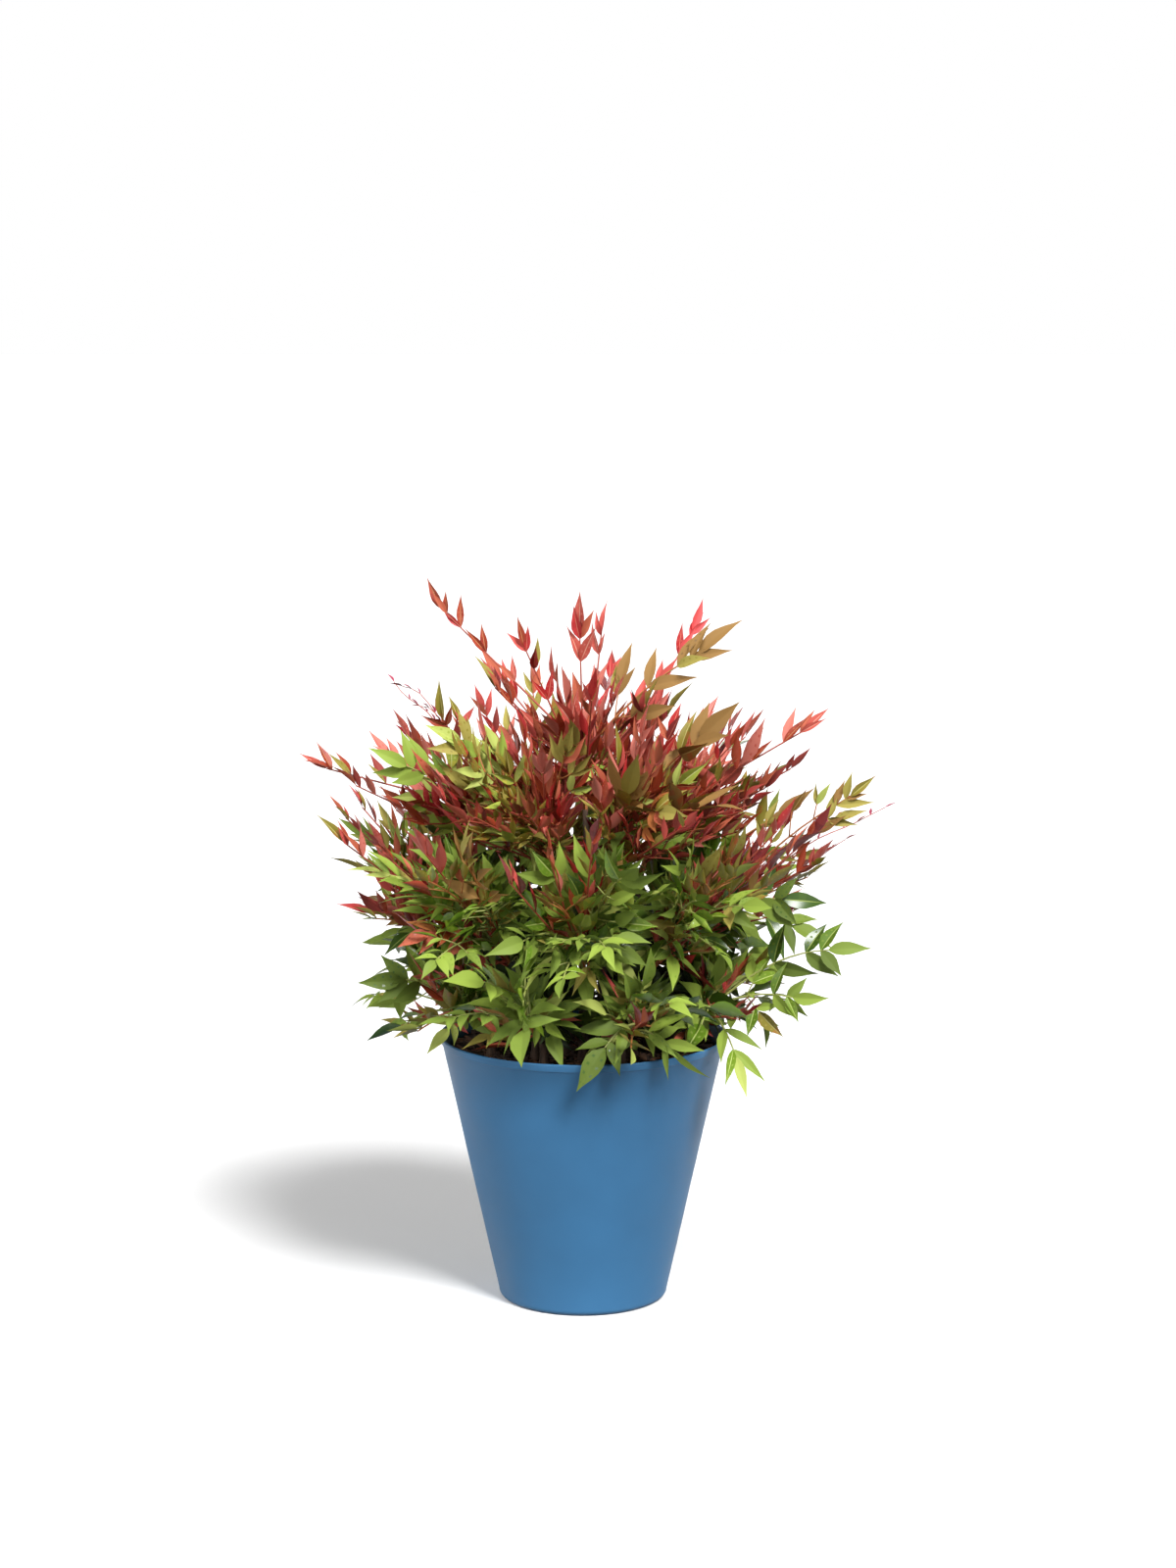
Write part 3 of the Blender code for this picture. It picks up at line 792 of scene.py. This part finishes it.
class Blades:
    """Every leaflet so far as a flat kite, so that a new one can be kept from crossing them."""

    WIDEST = 0.40
    KITE = ((0.04, 0.0), (WIDEST, 0.5), (1.0, 0.0), (WIDEST, -0.5))

    def __init__(self, most=40000):
        self.count = 0
        self.kites = np.zeros((most, 4, 3))
        self.axes = np.zeros((most, 3, 3))
        self.sizes = np.zeros((most, 2))
        self.middles = np.zeros((most, 3))
        self.tiers = np.zeros(most, "U8")

    def forget(self, tier):
        """Takes out the leaflets of a tier, before it is grown again."""
        kept = np.nonzero(self.tiers[:self.count] != tier)[0]
        for values in (self.kites, self.axes, self.sizes, self.middles, self.tiers):
            values[:len(kept)] = values[kept]
        self.count = len(kept)

    @staticmethod
    def lines(kites):
        """The rim and the spine of each kite: arrays (blades, segments, 2 ends, 3)."""
        rims = np.stack([kites, np.roll(kites, -1, axis=1)], axis=2)
        return np.concatenate([rims, kites[:, None, 0:3:2]], axis=1)

    def crossed(self, segments, origin, axes, sizes):
        """Whether any blade is cut by its segments: arrays (blades, segments, 2 ends, 3)."""
        local = np.einsum("bsec,bkc->bsek", segments - origin[:, None, None], axes)
        here, there = local[:, :, 0], local[:, :, 1]
        drop = here[..., 1] - there[..., 1]
        share = here[..., 1] / np.where(np.abs(drop) < 1e-9, 1e-9, drop)
        meets = here[..., 1] * there[..., 1] < 0
        at = here + (there - here) * share[..., None]
        along = at[..., 2] / sizes[:, None, 0]
        half = sizes[:, None, 1] * np.minimum(along / self.WIDEST,
                                              (1.0 - along) / (1.0 - self.WIDEST))
        return (meets & (along > 0.05) & (np.abs(at[..., 0]) < half)).any()

    def add(self, leaf, tier):
        """Takes the leaf in, unless it crosses another."""
        root, ahead, normal = (np.array(v) for v in (leaf.root, leaf.ahead, leaf.normal))
        side = np.cross(normal, ahead)
        axes = np.array((side, normal, ahead))
        size = np.array((leaf.length, leaf.length * leaf.width / 2))
        kite = np.array([root + ahead * leaf.length * t + side * leaf.length * leaf.width * h
                         for t, h in self.KITE])
        middle = root + ahead * leaf.length / 2
        n = self.count
        near = np.nonzero(np.abs(self.middles[:n] - middle).max(axis=1)
                          < (self.sizes[:n, 0] + leaf.length) / 2)[0]
        if len(near):
            def repeated(values):
                return np.broadcast_to(values, (len(near), *values.shape))

            kites, turns, sizes = self.kites[near], self.axes[near], self.sizes[near]
            roots = self.middles[near] - turns[:, 2] * sizes[:, 0, None] / 2
            if (self.crossed(repeated(self.lines(kite[None])[0]), roots, turns, sizes)
                    or self.crossed(self.lines(kites), repeated(root), repeated(axes),
                                    repeated(size))):
                return False
        self.kites[n], self.axes[n], self.sizes[n], self.middles[n] = kite, axes, size, middle
        self.tiers[n] = tier
        self.count += 1
        return True


BLADES = Blades()


class Growth:
    """The stem, fronds, twigs and leaflets of one mass."""

    def __init__(self, mass, canes, tubes, fine):
        self.mass, self.canes, self.tubes, self.fine = mass, canes, tubes, fine
        self.chance = mass["chance"]
        self.places, self.inward = (np.array([tuple(wall[k]) for wall in mass["walls"]])
                                    for k in (0, 1))
        self.leaves = []
        self.limit = crown_reach

    def room_for(self, points, shown):
        """Whether the points keep to the mass's space, and off the pot and the canes."""
        foliage, pot = settings().foliage, settings().pot
        at = np.array([tuple(p) for p in points])
        gaps = ((at[:, None] - self.places) * self.inward).sum(axis=2).min()
        if gaps < -foliage.lean:
            return False
        for p in points:
            out, arm = p.xy.length, p - FOCUS
            by_rim = p.z < pot.height + 0.002 and out < pot.top_radius + 0.003
            if (by_rim and (out > pot.top_radius - 0.008 or p.z < mix_level() + 0.004)
                    or p.z < LOWEST_LEAF
                    or not shown and p.z < pot.height + 0.004
                    or not shown and arm.length > self.limit(arm) + foliage.overhang
                    or self.canes.find_nearest(p, 0.0035)[0] is not None):
                return False
        return True

    def leaflet(self, root, way, normal, look, size, shown):
        """A leaflet, if one of four tries finds room for it."""
        chance = self.chance
        form = chance.randrange(len(LEAF_FORMS[look.shape]))
        tint = pick(chance, look.tints)
        length = look.length * size * chance.uniform(0.85, 1.15) * settings().foliage.leaflet_size
        width = look.width * chance.uniform(0.88, 1.12)
        for attempt in range(4):
            scatter = 0.06 + 0.16 * attempt
            tilt = (0.2 if shown else 0.35) + 0.25 * attempt
            turned = (way + Vector([chance.gauss(0, scatter) for _ in range(3)])).normalized()
            face = Matrix.Rotation(chance.gauss(0, tilt), 3, turned) @ square_to(normal, turned)
            side = face.cross(turned)
            ends = [root + turned * length * t + side * length * width * h
                    for t, h in ((0.25, 0), (0.5, 0.4), (0.5, -0.4), (1.0, 0))]
            leaf = Leaf(root - turned * 0.0004, turned, face, length, width, (look.shape, form), tint)
            if self.room_for(ends, shown) and BLADES.add(leaf, self.mass["tier"].name):
                self.leaves.append(leaf)
                return

    def pair(self, root, ahead, above, look, size, shown):
        """Two leaflets on opposite sides of a twig."""
        chance = self.chance
        side = ahead.cross(above).normalized()
        for hand in (-1, 1):
            way = swung(ahead, side * hand, look.spread * chance.uniform(0.8, 1.25))
            way = way + above * chance.gauss(0.04, 0.10) + UP * look.rise * chance.uniform(0.6, 1.3)
            way = way.normalized()
            size_here = size * chance.uniform(0.85, 1.05)
            self.leaflet(root, way, square_to(above, way), look, size_here, shown)

    def trident(self, end, ahead, above, look, size, shown):
        """A leaflet at the end of a twig and a pair a little below it."""
        lifted = (ahead + UP * (look.rise * 0.6)).normalized()
        self.leaflet(end, lifted, square_to(above, lifted), look, size, shown)
        self.pair(end - ahead * look.length * 0.16, ahead, above, look, size * 0.86, shown)

    def branch(self, base, way, above, length, look, size, leaflets, shown):
        """A small side branch of a frond with three or five leaflets."""
        end = base + (way + UP * look.rise * 0.4).normalized() * length
        pull = (base + end) / 2 + above * length * 0.06
        points = [bezier(base, pull, end, i / 3) for i in range(4)]
        self.fine.add(points, (0.0008, 0.0007, 0.00065, 0.0006), above, TWIGS.index(look.twig))
        ahead = (points[-1] - points[-2]).normalized()
        self.trident(end, ahead, above, look, size, shown)
        if leaflets > 3:
            root, ahead = part_way(points, 0.42)
            self.pair(root, ahead, above, look, size * 0.82, shown)

    def shoot(self, base, tip, look, shown):
        """A thread-like young shoot that curls, with small leaflets along it."""
        chance, steps = self.chance, 14
        run = tip - base
        aside = run.cross(UP).normalized()
        for strand in range(3):
            end = tip
            if strand:
                end = base + run * chance.uniform(0.72, 0.95) + aside * chance.gauss(0, 0.022)
            end = end + UP * chance.uniform(-0.004, 0.012) * (strand > 0)
            bow = UP * run.length * chance.uniform(0.10, 0.20) + aside * chance.gauss(0, 0.01)
            curl = chance.uniform(0, math.tau)
            points = []
            for i in range(steps + 1):
                t = i / steps
                wave = 0.0035 * t * math.sin(t * 14 + curl)
                points.append(bezier(base, (base + end) / 2 + bow, end, t) + UP * wave + aside * wave)
            radii = [0.0010 - 0.0006 * i / steps for i in range(steps + 1)]
            self.fine.add(points, radii, UP, TWIGS.index(look.twig))
            for i in range(5, steps + 1):
                root, ahead = part_way(points, i / (steps + 0.01))
                above = square_to(UP, ahead)
                if i == steps:
                    self.leaflet(root, ahead, above, look, 1.1, shown)
                elif chance.random() < 0.75:
                    way = swung(ahead, aside, chance.uniform(25, 60) * (-1) ** i)
                    way = (way + UP * chance.uniform(-0.2, 0.6)).normalized()
                    size = chance.uniform(0.6, 1.1)
                    self.leaflet(root, way, square_to(above, way), look, size, shown)

    def frond(self, base, tip, look_name, shown, far):
        """A frond from base to tip: its rachis, pairs of side branches, and leaflets at its end."""
        chance, look = self.chance, LOOKS[look_name]
        if look_name == "shoot":
            self.shoot(base, tip, look, shown)
            return
        if not shown:
            look = look._replace(length=look.length * chance.uniform(0.75, 1.25))
        run = tip - base
        along = run.normalized()
        arch = UP * run.length * next(arch for rise, arch in FROND_ARCHES if look.rise < rise)
        end = tip - (run / 2 - arch).normalized() * min(look.length, run.length * 0.4)
        steps, thick, thin = 9, 0.0013, 0.0007
        points = [bezier(base, (base + end) / 2 + arch, end, i / steps) for i in range(steps + 1)]
        out = FRONT * 1.6 if shown else Vector((*(tip - FOCUS).xy, 0.0)).normalized()
        facing = UP + out * (0.6 if look.rise > 0.5 else 1.3)
        above = square_to(facing + self.mass["beside"] * chance.gauss(0, 0.15), along)
        above = Matrix.Rotation(chance.gauss(0, 0.2 if shown else 0.5), 3, along) @ above
        radii = [thick + (thin - thick) * i / steps for i in range(steps + 1)]
        radii[0] = 0.0019
        self.tubes.add(points, radii, above, TWIGS.index(look.twig))
        ahead = (points[-1] - points[-2]).normalized()
        self.trident(end, ahead, square_to(above, ahead), look, 1.0, shown)
        reach = (end - base).length
        loose = far and look.rise > 0.5
        gap = look.length * (0.88 if loose else 0.68)
        place = reach - gap * 0.8
        rank = 0
        while place > reach * 0.28:
            root, ahead = part_way(points, place / reach)
            local = square_to(above, ahead)
            if rank == 0 or (rank == 1 and look.length > 0.044) or (loose and rank < 3):
                self.pair(root, ahead, local, look, 0.95, shown)
            else:
                side = ahead.cross(local).normalized()
                for hand in (-1, 1):
                    way = swung(ahead, side * hand, (look.spread + 8) * chance.uniform(0.85, 1.2))
                    length = min(0.010 + 0.010 * rank, reach * 0.30)
                    self.branch(root, way.normalized(), local, length, look,
                                0.95 - 0.02 * rank, 3 if rank < 3 else 5, shown)
            rank += 1
            place -= gap * (1.0 + 0.14 * rank)

    def next_tip(self, tips, low, high):
        """Where the next frond ends: between these depths, and well away from the tips so far."""
        middle = self.mass["middle"]
        choices = []
        for _ in range(3000):
            tip = middle + Vector([self.chance.uniform(-0.23, 0.23) for _ in range(3)])
            arm = tip - FOCUS
            if (tip.z > LOWEST_TIP and in_cell(self.mass, tip, 0.004)
                    and low(arm) < arm.length < high(arm)):
                choices.append(tip)
                if len(choices) == 12:
                    break
        return max(choices, default=None,
                   key=lambda choice: min((choice - tip).length for tip in [middle, *tips]))

    def new_tip(self, i, tips):
        """A tip for frond i: in the crown's core, in its full part, or now and then in its open rim."""
        foliage = settings().foliage

        def inner(arm):
            return full_reach(arm) * foliage.inner

        def core(arm):
            return full_reach(arm) * foliage.core

        tip = None
        if i % self.mass["tier"].far_every == 0:
            tip, self.limit = self.next_tip(tips, full_reach, crown_reach), crown_reach
        elif i % 3 == 1:
            tip, self.limit = self.next_tip(tips, core, inner), full_reach
            if tip is not None:
                # A tip in the crown's core takes a look of painted shade, red above 0.43 m and green below
                return tip, "shaded_red" if tip.z > 0.43 else "shaded"
        if tip is None:
            tip, self.limit = self.next_tip(tips, inner, full_reach), full_reach
        return tip, self.look_at(tip)

    def look_at(self, tip):
        """A look for the frond that ends here, by its patch or else by its height."""
        for middle, size, weights in PATCHES:
            if (tip - Vector(middle)).length < size:
                return pick(self.chance, weights)
        return pick(self.chance, next(weights for top, weights in ZONES if tip.z < top))

    def grow(self):
        """Grows the stem, the fronds that are shown in this mass's space, and its other fronds."""
        mass = self.mass
        start = mass["entry"] - mass["ahead"] * 0.002
        stem = [start + (mass["middle"] - start) * i / 3 for i in range(4)]
        self.tubes.add(stem, (0.0027, 0.0024, 0.0021, 0.0012), mass["beside"], TWIGS.index("tan"))
        fronds = [(Vector(place), look) for *place, look in SHOWN_FRONDS
                  if in_cell(mass, Vector(place))]
        standing = len(fronds)
        grown = round(mass["tier"].fronds * settings().foliage.fullness)
        for i in range(standing + grown):
            self.limit = crown_reach
            if i >= standing:
                fronds.append(self.new_tip(i, [tip for tip, _ in fronds]))
            base = part_way(stem, 0.98 - 0.80 * (i * 0.618 % 1.0))[0]
            self.frond(base, *fronds[i], i < standing, self.limit is crown_reach)


def leaf_materials(name):
    """The upper side, the underside, the midrib and the margin of leaves of one tint."""
    gloss = (0.28, 0.4) if name in ("deep", "green", "fresh", "lime") else (0.38, 0.35)
    sides = (("upper side", gloss), ("underside", (0.60, 0.2)), ("midrib", (0.50, 0.3)),
             ("margin", gloss))
    return [plain_material(f"{name} leaf {side}", tint, *finish)
            for (side, finish), tint in zip(sides, TINTS[name])]


def leaves_mesh(name, leaves):
    """One mesh of these leaves, and the materials of the tints that they have."""
    tints = [tint for tint in TINTS if any(leaf.tint == tint for leaf in leaves)]
    groups = []
    for shape_name, forms in LEAF_FORMS.items():
        for i, form in enumerate(forms):
            these = [leaf for leaf in leaves if leaf.form == (shape_name, i)]
            if not these:
                continue
            shape = marked_leaf(OUTLINES[shape_name], form)
            root, ahead, normal = (np.array([tuple(getattr(leaf, field)) for leaf in these])[:, None]
                                   for field in ("root", "ahead", "normal"))
            length, width = (np.array([getattr(leaf, field) for leaf in these])[:, None, None]
                             for field in ("length", "width"))
            x, y, z = (shape["points"][None, :, k, None] for k in range(3))
            placed = root + length * (
                x * width * np.cross(normal, ahead) + y * width * normal + z * ahead)
            tint = np.array([tints.index(leaf.tint) * 4 for leaf in these])
            groups.append((shape, placed, tint))
    materials = [material for tint in tints for material in leaf_materials(tint)]
    return joined_mesh(name, groups), materials


# ---------------------------------------------------------------- settings, operators and panel


def length_prop(name, description, default):
    return bpy.props.FloatProperty(name=name, description=description, default=default,
                                   min=0.0, unit="LENGTH", precision=5)


def number_prop(name, description, default, low=0.0, high=10.0):
    return bpy.props.FloatProperty(name=name, description=description, default=default,
                                   min=low, max=high)


def count_prop(name, description, default, low=0):
    return bpy.props.IntProperty(name=name, description=description, default=default, min=low)


def colour_prop(name, description, default):
    return bpy.props.FloatVectorProperty(name=name, description=description, default=default,
                                         subtype="COLOR", min=0.0, max=1.0)


class PotSettings(bpy.types.PropertyGroup):
    """The pot's sizes and colour."""

    height: length_prop("Height", "Height of the pot", 0.263)
    top_radius: length_prop("Top radius", "Outer radius at the rim", 0.140)
    base_radius: length_prop("Base radius", "Outer radius of the tapered wall at the floor", 0.082)
    corner: length_prop("Corner", "Radius of the rounded corner round the base", 0.006)
    wall: length_prop("Wall", "Thickness of the wall", 0.003)
    floor: length_prop("Floor", "Thickness of the bottom", 0.004)
    band_height: length_prop("Band height", "Height of the band below the rim", 0.008)
    band_step: length_prop("Band step", "How far the rim band stands out", 0.0010)
    colour: colour_prop("Colour", "Colour of the plastic", (0.040, 0.146, 0.294))


class MixSettings(bpy.types.PropertyGroup):
    """The potting mix and the bark chips on it."""

    below_rim: length_prop("Below rim", "Depth of the mix's surface below the rim", 0.016)
    roughness: length_prop("Unevenness", "How far the surface rises and falls", 0.0022)
    chips: count_prop("Chips", "Number of bark chips", 620)
    chip_length: length_prop("Chip length", "Length of a usual chip", 0.016)
    seed: count_prop("Seed", "Seed of the chips' places", 3)


class CaneSettings(bpy.types.PropertyGroup):
    """The canes and the relief of their bark."""

    radius: length_prop("Radius", "Radius of a cane above its foot", 0.0042)
    taper: number_prop("Taper", "Share of the radius left at the tip", 0.62, 0.1, 1.0)
    station: length_prop("Station", "Distance between the rings of points along a cane", 0.003)
    sides: count_prop("Sides", "Points round a cane", 20, 6)
    ridge: number_prop("Ridges", "Depth of the ridges, as a share of the radius", 0.07, 0.0, 0.3)
    ring: number_prop("Rings", "Height of the leaf scars, as a share of the radius", 0.16, 0.0, 0.5)
    rings: count_prop("Ring count", "Leaf scars on a cane", 7)


class FoliageSettings(bpy.types.PropertyGroup):
    """The fronds and their leaflets."""

    fullness: number_prop("Fullness", "Scale of the number of fronds", 1.0, 0.1, 3.0)
    leaflet_size: number_prop("Leaflet size", "Scale of every leaflet", 1.0, 0.2, 3.0)
    inner: number_prop("Innermost tips", "Share of the crown's reach where tips begin", 0.50, 0.1, 0.95)
    core: number_prop("Core", "Share of the crown's reach where its core begins", 0.12, 0.0, 0.95)
    lean: length_prop("Lean", "How far leaflets may lean over into the next mass", 0.022)
    overhang: length_prop("Overhang", "How far leaflets may stand out of the crown", 0.018)
    seed: count_prop("Seed", "Seed of the growth", 500)


class StageSettings(bpy.types.PropertyGroup):
    """The floor, the lights and the camera."""

    lens: bpy.props.FloatProperty(name="Lens", description="Focal length of the camera",
                                  default=70.8, min=10.0, unit="CAMERA")
    floor: colour_prop("Floor", "Colour of the floor", (0.86, 0.86, 0.86))
    light: number_prop("Light", "Strength of the light overhead", 0.15)
    floor_light: number_prop("Light from below", "Strength of the light from the floor", 0.15)
    sun: number_prop("Key", "Strength of the key light", 4.9)


class BambooSettings(bpy.types.PropertyGroup):
    """Everything that can be set on the heavenly bamboo."""

    pot: bpy.props.PointerProperty(type=PotSettings)
    mix: bpy.props.PointerProperty(type=MixSettings)
    canes: bpy.props.PointerProperty(type=CaneSettings)
    foliage: bpy.props.PointerProperty(type=FoliageSettings)
    stage: bpy.props.PointerProperty(type=StageSettings)


class MakePot(bpy.types.Operator):
    """Make the tapered pot"""

    bl_idname = "heavenly_bamboo.make_pot"
    bl_label = "Pot"

    def execute(self, context):
        mesh = mesh_from(spun(pot_profile(), 144), "pot_shell")
        mesh.shade_smooth()
        piece = new_piece("pot_shell", mesh, [pot_material()], "pot_plastic", ["pot"])
        mesh.set_sharp_from_angle(angle=math.radians(40))
        if not piece.data.polygons:
            raise RuntimeError("the pot has no faces")
        return {"FINISHED"}


class MakeMix(bpy.types.Operator):
    """Make the potting mix and the bark chips on it"""

    bl_idname = "heavenly_bamboo.make_mix"
    bl_label = "Potting mix"

    def execute(self, context):
        mesh = mix_mesh()
        mesh.shade_smooth()
        new_piece("mix_body", mesh, [mix_material()], "potting_mix", ["potting_mix"])
        chips = [fibrous_material(f"{name} bark chip", [c * 0.45 for c in colour],
                                  [min(1.0, c * 1.5) for c in colour], 110.0, 3.0, 0.5, 0.0008)
                 for name, colour in CHIP_TINTS.items()]
        new_piece("bark_chips", chips_mesh(), chips, "potting_mix")
        return {"FINISHED"}


class MakeCanes(bpy.types.Operator):
    """Make the canes, with the relief of their bark"""

    bl_idname = "heavenly_bamboo.make_canes"
    bl_label = "Canes"

    def execute(self, context):
        nodes = [f"cane_{mass['name']}" for mass in masses()]
        bark = fibrous_material("cane bark", (.030, .017, .012), (.14, .085, .055),
                                260.0, 0.12, 0.6, 0.0006)
        new_piece("cane_stand", canes_mesh(), [bark], "cane_bark", nodes)
        return {"FINISHED"}


class MakeFoliage(bpy.types.Operator):
    """Grow the twigs and leaflets of one tier of masses"""

    bl_idname = "heavenly_bamboo.make_foliage"
    bl_label = "Foliage"

    tier: bpy.props.EnumProperty(
        name="Tier", description="The tier of masses to grow",
        items=[(tier.name, tier.name.title(), f"The {tier.name} masses") for tier in TIERS])

    def execute(self, context):
        stand = bpy.data.objects.get("cane_stand")
        if not stand:
            raise RuntimeError("the canes come before the foliage")
        canes = BVHTree.FromObject(stand, context.evaluated_depsgraph_get())
        thick, fine = Tubes(6), Tubes(5)
        slot = next(tier.slot for tier in TIERS if tier.name == self.tier)
        BLADES.forget(self.tier)
        for mass in masses():
            if mass["tier"].name == self.tier:
                growth = Growth(mass, canes, thick, fine)
                growth.grow()
                name = f"leaves_{mass['name']}"
                new_piece(name, *leaves_mesh(name, growth.leaves), slot=slot,
                          replaced=[f"foliage_{mass['name']}"])
        twigs = [plain_material(f"{name} twig", colour, 0.5) for name, colour in TWIG_TINTS.items()]
        new_piece(f"fronds_{self.tier}", thick.mesh(f"fronds_{self.tier}"), twigs, slot)
        new_piece(f"twigs_{self.tier}", fine.mesh(f"twigs_{self.tier}"), twigs, slot)
        return {"FINISHED"}


def studio_world(stage):
    """Even light all round: white by the horizon, softer overhead and faint from below."""
    world = bpy.data.worlds.new("studio")
    world.use_nodes = True
    nodes, links = world.node_tree.nodes, world.node_tree.links
    place = nodes.new("ShaderNodeTexCoord")
    split = nodes.new("ShaderNodeSeparateXYZ")
    ramp = nodes.new("ShaderNodeValToRGB")
    raised = nodes.new("ShaderNodeMapRange")
    raised.inputs["From Min"].default_value = -0.1
    raised.inputs["From Max"].default_value = 0.9
    stops = ((0.05, stage.floor_light), (0.08, 1.0), (0.215, 1.0), (0.26, stage.light))
    set_stops(ramp, [(height, (grey, grey, grey)) for height, grey in stops])
    links.new(place.outputs["Generated"], split.inputs["Vector"])
    links.new(split.outputs["Z"], raised.inputs["Value"])
    links.new(raised.outputs["Result"], ramp.inputs["Fac"])
    links.new(ramp.outputs["Color"], nodes["Background"].inputs["Color"])
    return world


class MakeStage(bpy.types.Operator):
    """Make the pale floor, the soft lights and the camera"""

    bl_idname = "heavenly_bamboo.make_stage"
    bl_label = "Stage"

    def execute(self, context):
        stage = settings().stage
        bm = bmesh.new()
        bmesh.ops.create_grid(bm, x_segments=1, y_segments=1, size=600.0)
        floor = bpy.data.objects.new("floor", mesh_from(bm, "floor"))
        bpy.context.scene.collection.objects.link(floor)
        floor.data.materials.append(plain_material("pale floor", stage.floor, 0.9))
        floor.visible_diffuse = False
        context.scene.world = studio_world(stage)
        for name, kind, place, aim, size, power in (
            ("key light", "SUN", (1.3, -2.2, 3.1), (0.0, 0.0, 0.40), 0.35, stage.sun),
            ("side light", "SUN", (-2.2, -2.0, 2.3), (0.0, 0.0, 0.40), 0.80, stage.sun * 0.44),
            ("back light", "AREA", (-0.8, 2.4, 2.4), (0.0, 0.0, 0.45), 1.5, 8.0),
        ):
            lamp = bpy.data.lights.new(name, kind)
            lamp.energy = power
            if kind == "SUN":
                lamp.angle = size
            else:
                lamp.size = size
            light = bpy.data.objects.new(name, lamp)
            light.location = place
            light.rotation_euler = (Vector(aim) - Vector(place)).to_track_quat("-Z", "Y").to_euler()
            bpy.context.scene.collection.objects.link(light)
        camera = bpy.data.cameras.new("camera")
        camera.lens, camera.sensor_width, camera.sensor_fit = stage.lens, 36.0, "AUTO"
        viewer = bpy.data.objects.new("camera", camera)
        viewer.location = CAMERA_PLACE
        viewer.rotation_euler = (math.radians(90.0 + CAMERA_PITCH), 0.0, 0.0)
        bpy.context.scene.collection.objects.link(viewer)
        context.scene.camera = viewer
        context.scene.view_settings.view_transform = "Standard"
        return {"FINISHED"}


class BambooPanel(bpy.types.Panel):
    """The heavenly bamboo's settings and steps"""

    bl_idname = "VIEW3D_PT_heavenly_bamboo"
    bl_label = "Heavenly Bamboo"
    bl_space_type = "VIEW_3D"
    bl_region_type = "UI"
    bl_category = "Heavenly Bamboo"

    def draw(self, context):
        for label, group, operator in (
            ("Pot", "pot", MakePot), ("Potting mix", "mix", MakeMix), ("Canes", "canes", MakeCanes),
            ("Foliage", "foliage", MakeFoliage), ("Stage", "stage", MakeStage),
        ):
            box = self.layout.box()
            box.label(text=label)
            values = getattr(settings(), group)
            for name in values.__annotations__:
                box.prop(values, name)
            if operator is MakeFoliage:
                for tier in TIERS:
                    box.operator(operator.bl_idname, text=f"Foliage {tier.name}").tier = tier.name
            else:
                box.operator(operator.bl_idname)


CLASSES = (PotSettings, MixSettings, CaneSettings, FoliageSettings, StageSettings, BambooSettings,
           MakePot, MakeMix, MakeCanes, MakeFoliage, MakeStage, BambooPanel)


def register():
    for each in CLASSES:
        bpy.utils.register_class(each)
    bpy.types.Scene.heavenly_bamboo = bpy.props.PointerProperty(type=BambooSettings)


def unregister():
    del bpy.types.Scene.heavenly_bamboo
    for each in reversed(CLASSES):
        bpy.utils.unregister_class(each)


def main():
    register()
    bpy.ops.heavenly_bamboo.make_pot()
    bpy.ops.heavenly_bamboo.make_mix()
    bpy.ops.heavenly_bamboo.make_canes()
    for tier in TIERS:
        bpy.ops.heavenly_bamboo.make_foliage(tier=tier.name)
    bpy.ops.heavenly_bamboo.make_stage()


if __name__ == "__main__":
    main()
